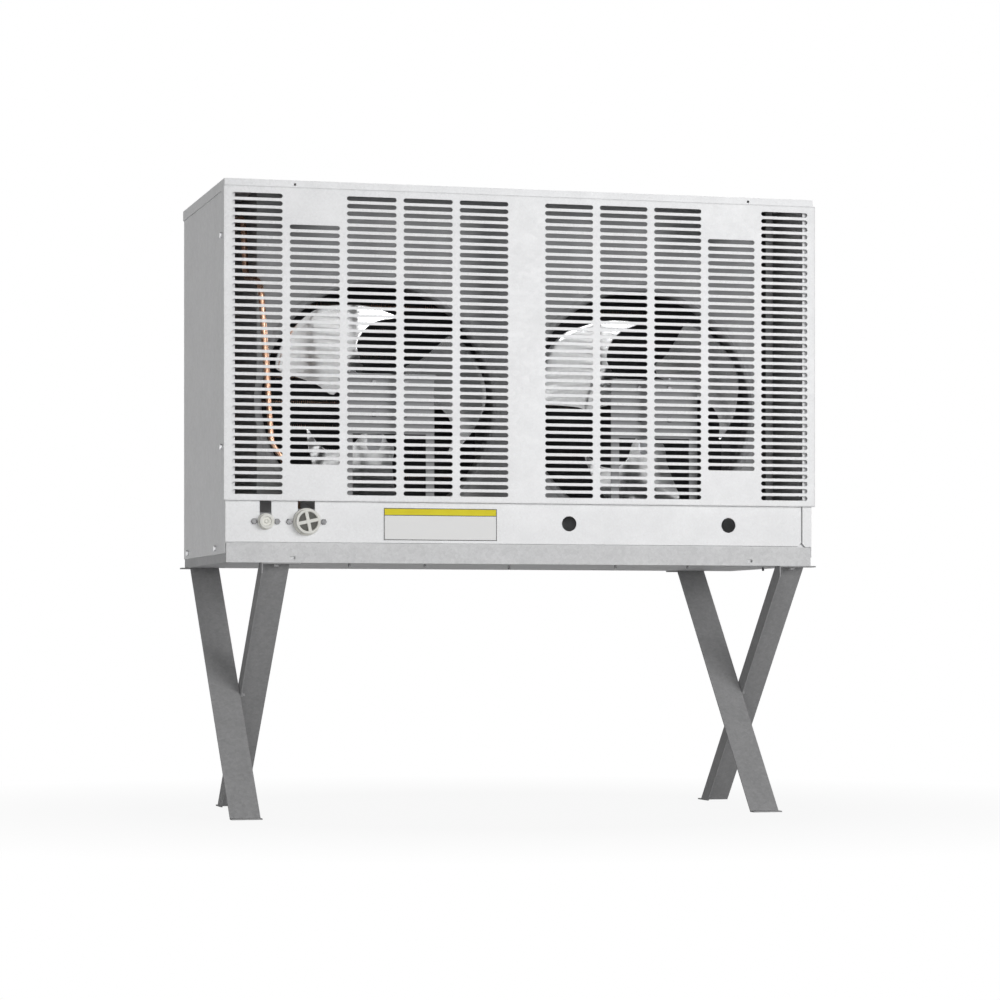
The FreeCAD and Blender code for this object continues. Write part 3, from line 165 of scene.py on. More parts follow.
def galvanized(name, grey, swing, spangle=0.007, rough=0.46, metallic=0.18, specular=0.5):
    # zinc spangle: flat crystals of two sizes, each a slightly different grey, under a soft cloud
    material, tree, surface = newShader(name, metallic, specular)
    where = placeOf(tree)
    crystals = []
    for size in (spangle, spangle * zinc["smallSpangle"]):
        cell = addNode(tree, "TexVoronoi", {"Scale": 1 / size, "Randomness": 1.0})
        tree.links.new(where, cell.inputs["Vector"])
        split = addNode(tree, "SeparateColor")
        tree.links.new(cell.outputs["Color"], split.inputs["Color"])
        crystals.append(split.outputs["Red"])
    pattern = sumOf(tree, crystals[0], crystals[1], 0.45)
    blend = sumOf(tree, pattern, noiseOf(tree, where, zinc["cloud"]))
    dark = [channel * (1 - swing) for channel in grey]
    light = [min(channel * (1 + swing), 1) for channel in grey]
    tree.links.new(tint(tree, spread(tree, blend, 0, 1, 0.25, 0.75), dark, light),
                   surface.inputs["Base Color"])
    tree.links.new(spread(tree, pattern, rough - 0.07, rough + 0.07, 0, 1), surface.inputs["Roughness"])
    grain = noiseOf(tree, where, zinc["grain"], 2.0)
    relief(tree, surface, sumOf(tree, pattern, grain, 0.3), zinc["depth"])
    return material


def plainMetal(name, dark, light, metallic, rough, size=0.0012, depth=0.00002, grain=(1, 1, 1)):
    # turned, drawn or pressed metal with fine streaks along one axis and dull blotches
    material, tree, surface = newShader(name, metallic)
    streaks = noiseOf(tree, placeOf(tree, grain), size, 4.0)
    blotches = noiseOf(tree, placeOf(tree), size * 9, 3.0)
    colour(tree, surface, sumOf(tree, streaks, blotches), dark, light, (rough + 0.08, rough - 0.08))
    relief(tree, surface, streaks, depth)
    return material


def moulded(name, dark, light, rough, size=0.05, skin=0.002, depth=0.00002, specular=0.5):
    # plastic, rubber, paint or film: an even colour with a faint mottle and a fine skin
    material, tree, surface = newShader(name, 0.0, specular)
    where = placeOf(tree)
    colour(tree, surface, noiseOf(tree, where, size, 3.0), dark, light, (rough - 0.05, rough + 0.05))
    relief(tree, surface, noiseOf(tree, where, skin, 2.0), depth)
    return material


galvanizedSheet = galvanized("galvanizedSheet", (0.78, 0.784, 0.792), 0.085)
# inner parts: the same galvanized sheet darkened to a dark grey; this darkness is painted shade of the
# cabinet's inside, not the sheet's own colour
shadedInnerSheet = galvanized("shadedInnerSheet", (0.30, 0.303, 0.31), 0.05)
legSteel = galvanized("legSteel", (0.42, 0.42, 0.425), 0.11, 0.005, rough=0.62, metallic=0.0, specular=0.15)
panSheet = galvanized("panSheet", (0.84, 0.844, 0.85), 0.09, 0.005, rough=0.65, metallic=0.03, specular=0.2)
bladeAluminium = plainMetal("bladeAluminium", (0.78, 0.785, 0.79), (0.90, 0.905, 0.91), 1.0, 0.15,
                            size=0.006, depth=0.00006)
finAluminium = plainMetal("finAluminium", (0.10, 0.102, 0.108), (0.19, 0.192, 0.20), 0.5, 0.42,
                          size=0.002, depth=0.00003, grain=(1, 1, 0.05))
copperTube = plainMetal("copperTube", (0.80, 0.44, 0.28), (0.95, 0.64, 0.47), 1.0, 0.26,
                        size=0.003, depth=0.00003, grain=(1, 1, 0.2))
turnedBrass = plainMetal("turnedBrass", (0.60, 0.45, 0.20), (0.80, 0.64, 0.34), 0.8, 0.32,
                         size=0.002, depth=0.00003, grain=(1, 6, 1))
shaftSteel = plainMetal("shaftSteel", (0.45, 0.46, 0.48), (0.66, 0.67, 0.69), 0.8, 0.34,
                        size=0.002, grain=(1, 8, 1))
zincScrew = plainMetal("zincScrew", (0.60, 0.605, 0.615), (0.92, 0.925, 0.94), 0.85, 0.26)
darkScrew = plainMetal("darkScrew", (0.07, 0.07, 0.075), (0.26, 0.26, 0.265), 0.4, 0.28)
motorPaint = moulded("motorPaint", (0.028, 0.028, 0.030), (0.052, 0.052, 0.055), 0.42,
                     size=0.02, skin=0.0015, depth=0.00008)
capPlastic = moulded("capPlastic", (0.90, 0.895, 0.83), (0.96, 0.955, 0.90), 0.40,
                     size=0.006, skin=0.0007, depth=0.00003)
sealRubber = moulded("sealRubber", (0.11, 0.11, 0.10), (0.17, 0.17, 0.15), 0.7,
                     size=0.003, skin=0.0006, depth=0.00005)
labelFilm = moulded("labelFilm", (0.95, 0.95, 0.945), (0.99, 0.99, 0.985), 0.38)
labelYellow = moulded("labelYellow", (0.92, 0.78, 0.02), (0.99, 0.87, 0.04), 0.5, specular=0.2)
labelInk = moulded("labelInk", (0.02, 0.02, 0.02), (0.04, 0.04, 0.04), 0.45)
print("finishes made")


# making pieces

def addPiece(name, mesh, material, body=rootBody, replaced=(), crease=30):
    piece = newObject(name, mesh)
    for finish in material if isinstance(material, list) else [material]:
        mesh.materials.append(finish)
    mesh.shade_smooth()
    mesh.set_sharp_from_angle(angle=math.radians(crease))
    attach(piece, body)
    if replaced:
        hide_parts(*replaced)
    return piece


def roundEdges(piece, width, segments=2, crease=40):
    bevel = piece.modifiers.new("edges", "BEVEL")
    bevel.width = width
    bevel.segments = segments
    bevel.limit_method = "ANGLE"
    bevel.angle_limit = math.radians(crease)


def toMesh(name, form):
    mesh = bpy.data.meshes.new(name)
    bmesh.ops.recalc_face_normals(form, faces=form.faces)
    form.to_mesh(mesh)
    form.free()
    return mesh


def skinRows(form, rows, close=False):
    # faces between neighbouring rows of points, which are rings where they close
    for near, far in zip(rows, rows[1:]):
        for j in range(len(near) if close else len(near) - 1):
            after = (j + 1) % len(near)
            form.faces.new([near[j], near[after], far[after], far[j]])


def spinRings(form, rings, steps, place=Matrix.Identity(4), close=False):
    # skin over rings of (y, radius) about the Y axis; a radius of nothing is a point on the axis
    loops = []
    for along, radius in rings:
        if radius < 1e-7:
            loops.append([form.verts.new(place @ Vector((0, along, 0)))])
            continue
        turns = [math.tau * k / steps for k in range(steps)]
        points = [(radius * math.cos(turn), along, radius * math.sin(turn)) for turn in turns]
        loops.append([form.verts.new(place @ Vector(point)) for point in points])
    pairs = list(zip(loops, loops[1:])) + ([(loops[-1], loops[0])] if close else [])
    for near, far in pairs:
        for k in range(steps):
            after = (k + 1) % steps
            corners = [near[k % len(near)], near[after % len(near)], far[after % len(far)], far[k % len(far)]]
            corners = list(dict.fromkeys(corners))
            if len(corners) > 2:
                form.faces.new(corners)


def cornersOf(points):
    # each inner corner of a line, with the way in and the way out
    for before, corner, after in zip(points, points[1:], points[2:]):
        corner = Vector(corner)
        yield corner, corner - Vector(before), Vector(after) - corner


def softProfile(points, radius, steps=3):
    # rounds the inner corners of a profile of (y, radius) pairs
    line = [Vector(points[0])]
    for corner, come, leave in cornersOf(points):
        room = min(radius, 0.45 * come.length, 0.45 * leave.length)
        start = corner - come.normalized() * room
        end = corner + leave.normalized() * room
        for k in range(steps + 1):
            t = k / steps
            line.append(start.lerp(corner, t).lerp(corner.lerp(end, t), t))
    return [(p.x, p.y) for p in line + [Vector(points[-1])]]


def punchedPlate(outline, holes, thick, depth, edge=0.2 * mm):
    # a flat sheet in the XZ plane, cut from a curve with its holes and given its thickness
    curve = bpy.data.curves.new("plateOutline", "CURVE")
    curve.dimensions = "2D"
    curve.fill_mode = "BOTH"
    curve.extrude = thick / 2 - edge
    curve.bevel_depth = edge
    curve.bevel_resolution = 0
    curve.offset = -edge
    for loop in [outline] + holes:
        spline = curve.splines.new("POLY")
        spline.points.add(len(loop) - 1)
        for point, (x, z) in zip(spline.points, loop):
            point.co = (x, z, 0, 1)
        spline.use_cyclic_u = True
    holder = bpy.data.objects.new("plateOutline", curve)
    mesh = bpy.data.meshes.new_from_object(holder)
    bpy.data.objects.remove(holder)
    bpy.data.curves.remove(curve)
    mesh.transform(Matrix.Translation((0, depth, 0)) @ Matrix.Rotation(quarter, 4, "X"))
    return mesh


def ringOf(x, z, radius, steps=48, start=0.0, sweep=math.tau):
    count = steps if sweep == math.tau else steps + 1
    turns = [start + sweep * k / steps for k in range(count)]
    return [(x + radius * math.cos(turn), z + radius * math.sin(turn)) for turn in turns]


def slotOf(x, z, long, tall, steps=6):
    reach = (long - tall) / 2
    return (ringOf(x + reach, z, tall / 2, steps, -quarter, math.pi)
            + ringOf(x - reach, z, tall / 2, steps, quarter, math.pi))


def boxOf(left, right, low, high):
    return [(left, low), (right, low), (right, high), (left, high)]


def joined(name, meshes):
    form = bmesh.new()
    for mesh in meshes:
        form.from_mesh(mesh)
        bpy.data.meshes.remove(mesh)
    return toMesh(name, form)


def bentStrip(profile, low, high, thick, bend, steps=4):
    # a folded sheet: its outer line in plan (x, y), swept from low to high and thickened to its left
    line = [Vector(p) for p in softProfile(profile, bend, steps)]
    inner = []
    for k, point in enumerate(line):
        ahead = (line[min(k + 1, len(line) - 1)] - line[max(k - 1, 0)]).normalized()
        inner.append(point + Vector((-ahead.y, ahead.x)) * thick)
    ring = line + inner[::-1]
    form = bmesh.new()
    bottom = [form.verts.new((p.x, p.y, low)) for p in ring]
    top = [form.verts.new((p.x, p.y, high)) for p in ring]
    skinRows(form, [bottom, top], close=True)
    for loop in (bottom, top):
        for k in range(len(line) - 1):
            form.faces.new([loop[k], loop[k + 1], loop[-2 - k], loop[-1 - k]])
    return toMesh("strip", form)


def layAcross(strip):
    # an upright folded sheet, laid so that it runs along X
    strip.transform(Matrix(((0, 0, 1, 0), (0, 1, 0, 0), (1, 0, 0, 0), (0, 0, 0, 1))))
    return strip


def foldedPanel(edges, holes, front, wraps, sheet, bend, inset, softEdge=0.2 * mm):
    # a panel that faces the front, with turned edges: its two sides, then its foot and top
    left, right, low, high = edges
    flat = boxOf(left + bend, right - bend, low + bend, high - bend)
    parts = [punchedPlate(flat, holes, sheet, front + sheet / 2, softEdge)]
    for pair, start, end, wrap in ((edges[:2], low, high, wraps[0]), (edges[2:], left, right, wraps[1])):
        for edge, hand in zip(pair, (-1, 1)):
            line = [(edge - hand * bend * 1.01, front), (edge, front), (edge, front + wrap)]
            strip = bentStrip(line if hand > 0 else line[::-1], start + inset, end - inset, sheet, bend)
            parts.append(strip if pair == edges[:2] else layAcross(strip))
    return parts


def ribRound(form, place, turn, middle, size):
    # a small block that stands on a round piece, at a turn about its axis
    block = bmesh.ops.create_cube(form, size=1)["verts"]
    spot = place @ Matrix.Rotation(turn, 4, "Y") @ Matrix.Translation(middle)
    bmesh.ops.transform(form, matrix=spot @ Matrix.Diagonal((*size, 1)), verts=block)


# the louvred front

louver = dict(inMm(slotLong=74.2, slotTall=6.5, slotPitch=11, firstSlot=13.5, columnPitch=84.7, midStrip=56.4,
                   sheet=1, wrap=20, lip=6, bend=1.6, softEdge=0.15),
              slotRows=40, shortRows=32, columns=5, shortColumn=3)


def louverColumns():
    first = louver["midStrip"] / 2 + louver["slotLong"] / 2
    for hand in (-1, 1):
        for column in range(louver["columns"]):
            short = column == louver["shortColumn"]
            count = louver["shortRows"] if short else louver["slotRows"]
            drop = (louver["slotRows"] - louver["shortRows"]) / 2 if short else 0
            for row in range(count):
                yield (hand * (first + column * louver["columnPitch"]),
                       grilleHigh.z - louver["firstSlot"] - (row + drop) * louver["slotPitch"])


def louverPanel():
    edges = (grilleLow.x, grilleHigh.x, grilleLow.z, grilleHigh.z)
    slots = [slotOf(x, z, louver["slotLong"], louver["slotTall"]) for x, z in louverColumns()]
    parts = foldedPanel(edges, slots, grilleLow.y, (louver["wrap"], louver["lip"]), louver["sheet"],
                        louver["bend"], louver["bend"] / 2, louver["softEdge"])
    addPiece("louverPanel", joined("louverPanel", parts), galvanizedSheet,
             replaced=["front_louver_panel"])


louverPanel()
print("louvred front made")


# low front panel with the slots for the couplings
# a joggle behind its foot and its right end leaves a shadow line
bigFit, smallFit = middleOf("discharge_coupling"), middleOf("liquid_coupling")
valve = dict(inMm(sheet=1, side=0.2, tuck=8.3, foot=1.6, rightEnd=14.2, chamfer=5, softEdge=0.3, joggle=3,
                  lap=26, overlap=3.6, leftInset=2, rightInset=1.6, gap=0.3, smallSlot=17, bigSlot=25,
                  knockOut=22.2, knockHeight=432.5), knockOuts=(67.5 * mm, 317.5 * mm))


def valvePanel():
    front, sheet, overlap = valveLow.y, valve["sheet"], valve["overlap"]
    left, right = valveLow.x + valve["side"], valveHigh.x - valve["rightEnd"]
    top, foot = grilleLow.z + valve["tuck"], panTop + valve["foot"]
    cut = valve["chamfer"]
    outline = [(left, foot), (right - cut, foot), (right, foot + cut), (right, top)]
    for middle, wide in ((bigFit.x, valve["bigSlot"]), (smallFit.x, valve["smallSlot"])):
        # open slot with a round foot
        outline.append((middle + wide / 2, top))
        outline += ringOf(middle, bigFit.z, wide / 2, 12, 0, -math.pi)
        outline.append((middle - wide / 2, top))
    outline.append((left, top))
    holes = [ringOf(x, valve["knockHeight"], valve["knockOut"] / 2, 40) for x in valve["knockOuts"]]
    parts = [punchedPlate(outline, holes, sheet, front + sheet / 2, valve["softEdge"])]
    back, rightRear = front + valve["joggle"] + sheet / 2, valveHigh.x - valve["rightInset"]
    for lap in (boxOf(left + valve["leftInset"], rightRear, panTop - valve["lap"], foot + overlap),
                boxOf(right - overlap, rightRear, foot + overlap + valve["gap"], top)):
        parts.append(punchedPlate(lap, [], sheet, back))
    addPiece("valvePanel", joined("valvePanel", parts), galvanizedSheet,
             replaced=["valve_panel"])


valvePanel()
print("valve panel made")


# fan wall and its two flared rings; the wall ends short of both side panels

shroud = dict(inMm(sheet=1, rightEnd=393, bore=352, flare=5, collar=26, lip=15, bend=1.5, hem=1.6, flange=7,
                   proud=0.8), steps=120)


def fanWall():
    front, sheet, bend = shroudLow.y, shroud["sheet"], shroud["bend"]
    radius, flare = shroud["bore"] / 2, shroud["flare"]
    edges = (shroudLow.x, shroud["rightEnd"], shroudLow.z, shroudHigh.z)
    axes = [fanAxis["fan_left"], fanAxis["fan_right"]]
    openings = [ringOf(axis.x, axis.z, radius + flare, shroud["steps"]) for axis in axes]
    parts = foldedPanel(edges, openings, front, (shroud["lip"], shroud["lip"]), sheet, bend, bend)
    turns = [quarter * k / 8 for k in range(9)]
    curve = [(flare * (1 - math.cos(turn)), radius + flare * (1 - math.sin(turn))) for turn in turns]
    # the ring's flange lies on the face of the wall
    proud, rim = shroud["proud"], radius + flare + shroud["flange"]
    curve = [(0, rim), (-proud * 0.7, rim - proud * 0.3), (-proud, rim - proud), (-proud, radius + flare),
             (-proud * 0.6, radius + flare * 0.9)] + curve[1:]
    outside = [(0, radius + flare)] + [(y + sheet * 0.8, r + sheet * 0.8) for y, r in curve[5:]]
    hem, end = shroud["hem"], shroud["collar"]
    rings = curve + [(end - hem, radius), (end, radius + hem * 0.3), (end, radius + hem),
                     (end - hem, radius + hem), (end - hem * 1.2, radius + sheet)] + outside[:0:-1]
    for axis in axes:
        form = bmesh.new()
        spinRings(form, rings, shroud["steps"], Matrix.Translation((axis.x, front, axis.z)), close=True)
        parts.append(toMesh("ring", form))
    addPiece("fanWall", joined("fanWall", parts), shadedInnerSheet, replaced=["fan_shroud"])


fanWall()


# fans: pressed blades riveted to a spider on a turned hub

fan = dict(inMm(across=334, root=42, armWide=26, armThick=2, rib=1.4, hollow=18, rake=16, thick=1.2,
                softEdge=0.35, hubLong=18, hubAcross=32, hubEase=0.8, rivet=2.6, bore=8.1),
           pitch=24, twist=7, count=3, stepsRound=64, stepsOut=16, rivets=((9, -7), (9, 7), (22, 0)),
           startTurn={"fan_left": 142, "fan_right": 158})
# a rivet's dome: millimetres above the arm, and a share of its radius
rivetForm = ((1.6, 0), (1.3, 0.6), (0.6, 1), (-0.2, 1))

# outline of one blade: degrees from its arm, then inner and outer edge as shares of the fan's radius;
# the long point leads and lies towards the front
sickle = [(-61, 0.738, 0.752), (-56, 0.724, 0.775), (-50, 0.712, 0.805), (-43, 0.685, 0.845),
          (-36, 0.635, 0.882), (-30, 0.575, 0.915), (-26.5, 0.52, 0.94), (-25, 0.42, 0.95),
          (-24, 0.32, 0.957), (-19, 0.262, 0.985), (-12, 0.245, 1.0), (-2, 0.243, 1.0),
          (6, 0.245, 0.998), (13, 0.262, 0.985), (18, 0.29, 0.965), (20.5, 0.31, 0.93),
          (21, 0.335, 0.72), (22.5, 0.36, 0.56), (26, 0.385, 0.49), (29, 0.40, 0.43)]


def along(table, t):
    # smooth curve through a table's rows at a share t of its length
    count = len(table) - 1
    span = min(int(t * count), count - 1)
    part = t * count - span
    rows = [table[min(max(span + k, 0), count)] for k in (-1, 0, 1, 2)]
    return [0.5 * ((2 * b) + (c - a) * part + (2 * a - 5 * b + 4 * c - d) * part ** 2
                   + (3 * b - a - 3 * c + d) * part ** 3)
            for a, b, c, d in zip(*rows)]


def bladePoint(turn, reach):
    # flat on the arm, then less steep and hollow towards the tip
    tip = fan["across"] / 2
    side = reach * math.sin(math.radians(turn))
    past = max(0, 2 * reach / tip - 1)
    slope = math.tan(math.radians(fan["pitch"] - fan["twist"] * past))
    rear = side * slope - fan["hollow"] * past * (side / tip) ** 2 + fan["rake"] * past
    return Vector((reach * math.cos(math.radians(turn)), rear, side))


def fanPlace(body, turn):
    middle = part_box("fan_shaft_" + body.split("_")[1])[1].y - fan["hubLong"] / 2
    axis = fanAxis[body]
    return Matrix.Translation((axis.x, middle, axis.z)) @ Matrix.Rotation(-math.radians(turn), 4, "Y")


def bladePlace(body, blade):
    return fanPlace(body, fan["startTurn"][body] + 360 / fan["count"] * blade)


def fanBlades(body):
    form = bmesh.new()
    tip, steps = fan["across"] / 2, fan["stepsOut"]
    for blade in range(fan["count"]):
        place = bladePlace(body, blade)
        grid = []
        for k in range(fan["stepsRound"] + 1):
            turn, inner, outer = along(sickle, k / fan["stepsRound"])
            reaches = [tip * (inner + (outer - inner) * j / steps) for j in range(steps + 1)]
            grid.append([form.verts.new(place @ bladePoint(turn, reach)) for reach in reaches])
        skinRows(form, grid)
    side = body.split("_")[1]
    mesh = toMesh("fanBlades", form)
    piece = addPiece("fanBlades_" + side, mesh, bladeAluminium, body,
                     ["fan_blades_" + side], 60)
    skin = piece.modifiers.new("thickness", "SOLIDIFY")
    skin.thickness = fan["thick"]
    skin.offset = 1 if mesh.polygons[0].normal.y > 0 else -1
    roundEdges(piece, fan["softEdge"], 2, 50)


def fanSpider(body):
    side = body.split("_")[1]
    half, outer, bore = fan["hubLong"] / 2, fan["hubAcross"] / 2, fan["bore"] / 2
    thick = fan["armThick"]
    form = bmesh.new()
    hub = [(-half, bore), (-half, outer * 0.62), (-half * 0.45, outer * 0.62), (-half * 0.45, outer),
           (half * 0.45, outer), (half * 0.45, outer * 0.7), (half, outer * 0.7), (half, bore)]
    spinRings(form, softProfile(hub, fan["hubEase"], 2), 40, fanPlace(body, 0), close=True)
    tilt = Matrix.Rotation(-math.radians(fan["pitch"]), 4, "X")
    start, end = outer * 0.8, fan["root"] + 1.2 * fan["armWide"]
    dome = [(-thick - rise * mm, fan["rivet"] * share) for rise, share in rivetForm]
    for blade in range(fan["count"]):
        place = bladePlace(body, blade) @ tilt
        # pressed arm, wider where the blade lies on it, with a raised rib along its middle
        rows = []
        for t in (k / 10 for k in range(11)):
            reach = start + (end - start) * t
            taper = math.sqrt(max(1 - max(0, t - 0.85) ** 2 * 30, 0.3))
            wide = fan["armWide"] * (0.36 + 0.14 * min(1, t * 2.2)) * taper
            rib = fan["rib"] * math.sin(math.pi * min(t * 1.25, 1))
            rows.append([(reach, -thick * 0.5 - (rib if abs(s) < 0.2 else 0), wide * s)
                         for s in (-1, -0.3, -0.15, 0.15, 0.3, 1)])
        plates = [[form.verts.new(place @ Vector((x, y + lift, z))) for x, y, z in row]
                  for lift in (-thick / 2, thick / 2) for row in rows]
        count = len(rows)
        skinRows(form, plates[:count])
        skinRows(form, plates[count:])
        edges = [(k, j, 1, 0) for k in range(count - 1) for j in (0, 5)]
        edges += [(k, j, 0, 1) for k in (0, count - 1) for j in range(5)]
        for k, j, down, over in edges:
            form.faces.new([plates[k][j], plates[k + down][j + over],
                            plates[count + k + down][j + over], plates[count + k][j]])
        for back, off in fan["rivets"]:
            spinRings(form, dome, 12, place @ Matrix.Translation((end - back * mm, 0, off * mm)))
    addPiece("fanSpider_" + side, toMesh("fanSpider", form), shaftSteel, body,
             ["fan_hub_" + side], 35)


for body in fanAxis:
    fanBlades(body)
    fanSpider(body)
print("fans made")


# motors

motor = dict(inMm(across=84, long=56, bell=60, step=6, bead=1.2, bore=8.1, dish=2, softEdge=0.3,
                  ribSink=0.4, ribRise=1.6, ribWide=3.2, boltCircle=74), ribs=16, bolts=4)
# a bolt's head, nut and end: depth and radius in millimetres
boltForm = ((0, 2.9), (2.6, 2.9), (3, 2.4), (3, 1.5), (4.6, 1.5), (5, 0))


def fanMotor(side):
    centre = middleOf("fan_motor_" + side)
    place = Matrix.Translation((centre.x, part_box("fan_motor_" + side)[0].y, centre.z))
    radius, long, bell = motor["across"] / 2, motor["long"], motor["bell"] / 2
    step, bead, bore = motor["step"], motor["bead"], motor["bore"] / 2
    dish = long - motor["dish"]
    profile = [(0, 0), (0, radius - step), (step, radius), (step * 2, radius),
               (step * 2 + bead, radius - bead), (step * 2 + 2 * bead, radius),
               (long - step * 3 - 2 * bead, radius), (long - step * 3 - bead, radius - bead),
               (long - step * 3, radius), (long - step * 2, radius), (long - step, bell), (long, bell * 0.95),
               (long, bell * 0.5), (dish, bell * 0.45), (dish, bore), (step, bore)]
    form = bmesh.new()
    spinRings(form, softProfile(profile, bead), 64, place)
    for k in range(motor["ribs"]):
        # pressed ribs round the can
        turn = math.tau * (k + 0.5) / motor["ribs"]
        ribRound(form, place, turn, (radius - motor["ribSink"], long * 0.42, 0),
                 (motor["ribRise"], long * 0.3, motor["ribWide"]))
    for k in range(motor["bolts"]):
        turn = math.tau * (k + 0.5) / motor["bolts"]
        reach = motor["boltCircle"] / 2
        spot = Matrix.Translation((reach * math.cos(turn), long - step * 2.2, reach * math.sin(turn)))
        spinRings(form, [(y * mm, r * mm) for y, r in boltForm], 12, place @ spot)
    piece = addPiece("fanMotor_" + side, toMesh("fanMotor", form), motorPaint,
                     replaced=["fan_motor_" + side], crease=35)
    roundEdges(piece, motor["softEdge"], 1, 50)


# stands that hold the motors: a plate on two legs with turned feet and a lip along its top
bracket = inMm(sheet=2, rise=34, drop=52, leg=22, slim=13, flare=24, lip=8, bend=2.5, softEdge=0.3, stud=23.3,
               studHole=4.6, cornerHole=5, cornerReach=44, cornerDrop=45)


def motorBracket(side):
    low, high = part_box("motor_bracket_" + side)
    axis = fanAxis["fan_" + side]
    sheet, bend, leg = bracket["sheet"], bracket["bend"], bracket["leg"]
    face = low.y + bracket["lip"]
    top, sill, floorLevel = axis.z + bracket["rise"], axis.z - bracket["drop"], low.z
    slim, knee = bracket["slim"], floorLevel + bracket["flare"]
    outline = [(low.x, floorLevel + bend), (low.x + leg, floorLevel + bend), (low.x + leg, knee),
               (low.x + slim, knee + leg - slim), (low.x + slim, sill), (high.x - slim, sill),
               (high.x - slim, knee + leg - slim), (high.x - leg, knee), (high.x - leg, floorLevel + bend),
               (high.x, floorLevel + bend), (high.x, top - bend), (low.x, top - bend)]
    holes = [ringOf(axis.x + x * bracket["stud"], axis.z + z * bracket["stud"], bracket["studHole"] / 2, 16)
             for x in (-1, 1) for z in (-1, 1)]
    holes += [ringOf(axis.x + x * bracket["cornerReach"], axis.z - bracket["cornerDrop"],
                     bracket["cornerHole"] / 2, 28) for x in (-1, 1)]
    parts = [punchedPlate(outline, holes, sheet, face + sheet / 2, bracket["softEdge"])]
    foot = [(face, floorLevel + bend * 1.01), (face, floorLevel), (high.y, floorLevel)]
    head = [(low.y, top), (face + sheet, top), (face + sheet, top - bend * 1.01)]
    for start, end, line in ((low.x, low.x + leg, foot), (high.x - leg, high.x, foot), (low.x, high.x, head)):
        parts.append(layAcross(bentStrip([(z, y) for y, z in line][::-1], start, end, sheet, bend)))
    addPiece("motorBracket_" + side, joined("motorBracket", parts), shadedInnerSheet,
             replaced=["motor_bracket_" + side])


for side in ("left", "right"):
    fanMotor(side)
    motorBracket(side)
print("motors made")

# folded walls across the air space behind the fan wall, between the fans and at the blind end of the coil
baffle = inMm(sheet=1, flange=12, bend=1.5, gap=0.3)


def airBaffle(name, x, hand):
    start = shroudLow.y + shroud["lip"] + 2 * baffle["gap"]
    end = coilLow.y - baffle["gap"]
    low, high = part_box("plenum_baffle")
    line = [(x + hand * baffle["flange"], start), (x, start), (x, end), (x + hand * baffle["flange"], end)]
    strip = bentStrip(line if hand < 0 else line[::-1], low.z, high.z, baffle["sheet"], baffle["bend"])
    addPiece(name, strip, shadedInnerSheet)


airBaffle("middleBaffle", 0, 1)
airBaffle("blindBaffle", coilHigh.x + coilPlate, -1)
print("baffles made")


# coil: thin fins on two banks of tubes, with bends at both ends

coil = dict(inMm(finPitch=3.1, finThick=0.3, wave=0.8, waveLong=12.7, tubeAcross=9.5, tubePitch=38.1,
                 bankPitch=30), rows=14, banks=2)


def tubeHeight(row):
    middle = (coilLow.z + coilHigh.z) / 2
    return middle + ((coil["rows"] - 1) / 2 - row) * coil["tubePitch"]


def bankDepth(bank):
    return (coilLow.y + coilHigh.y) / 2 + (bank - 0.5) * coil["bankPitch"]


def coilFins():
    form = bmesh.new()
    tall = coilHigh.z - coilLow.z
    steps = int(tall / (coil["waveLong"] / 2))
    deep = [coilLow.y, coilLow.y + (coilHigh.y - coilLow.y) / 2, coilHigh.y]
    grid = []
    for k in range(steps + 1):
        z = coilLow.z + tall * k / steps
        grid.append([form.verts.new((coilLow.x + coil["wave"] * (k % 2), y, z)) for y in deep])
    skinRows(form, grid)
    piece = addPiece("coilFins", toMesh("coilFins", form), finAluminium,
                     replaced=["coil_core"])
    thick = piece.modifiers.new("thickness", "SOLIDIFY")
    thick.thickness = coil["finThick"]
    rows = piece.modifiers.new("fins", "ARRAY")
    rows.use_relative_offset = False
    rows.use_constant_offset = True
    rows.constant_offset_displace = (coil["finPitch"], 0, 0)
    rows.count = int((coilHigh.x - coilLow.x - coil["wave"]) / coil["finPitch"])


def coilTubes():
    form = bmesh.new()
    turn = Matrix.Rotation(-quarter, 4, "Z")
    for row in range(coil["rows"]):
        for bank in range(coil["banks"]):
            place = Matrix.Translation((coilLow.x - coilPlate, bankDepth(bank), tubeHeight(row))) @ turn
            long = coilHigh.x - coilLow.x + 2 * coilPlate
            spinRings(form, [(0, coil["tubeAcross"] / 2), (long, coil["tubeAcross"] / 2)], 14, place)
    addPiece("coilTubes", toMesh("coilTubes", form), copperTube)


def pipe(name, points, replaced):
    # a bent tube: straight runs joined by round bends, skinned by hand along its line
    line = [Vector(points[0])]
    for corner, come, leave in cornersOf(points):
        turn = come.angle(leave)
        room = min(tubing["bend"] * math.tan(turn / 2), 0.45 * come.length, 0.45 * leave.length)
        start = corner - come.normalized() * room
        end = corner + leave.normalized() * room
        count = max(2, int(turn / math.radians(9)))
        radius = room / math.tan(turn / 2)
        toMiddle = (leave.normalized() - come.normalized()).normalized()
        centre = corner + toMiddle * (radius / math.cos(turn / 2))
        arm = start - centre
        axis = come.cross(leave).normalized()
        line += [centre + Matrix.Rotation(turn * k / count, 3, axis) @ arm for k in range(count + 1)]
    line.append(Vector(points[-1]))
    form = bmesh.new()
    skinTube(form, line, tubing["across"] / 2, 20)
    addPiece(name, toMesh(name, form), copperTube, replaced=replaced, crease=50)


def skinTube(form, line, radius, steps):
    side = (line[1] - line[0]).normalized().orthogonal().normalized()
    loops = []
    for k, point in enumerate(line):
        heading = (line[min(k + 1, len(line) - 1)] - line[max(k - 1, 0)]).normalized()
        side = (side - heading * side.dot(heading)).normalized()
        up = heading.cross(side)
        turns = [math.tau * j / steps for j in range(steps)]
        loops.append([form.verts.new(point + (side * math.cos(turn) + up * math.sin(turn)) * radius)
                      for turn in turns])
    skinRows(form, loops, close=True)
    form.faces.new(loops[0])
    form.faces.new(loops[-1])


# the flared socket where a bend is brazed on
socketSize = inMm(wall=0.9, long=5, end=6, lip=0.1)


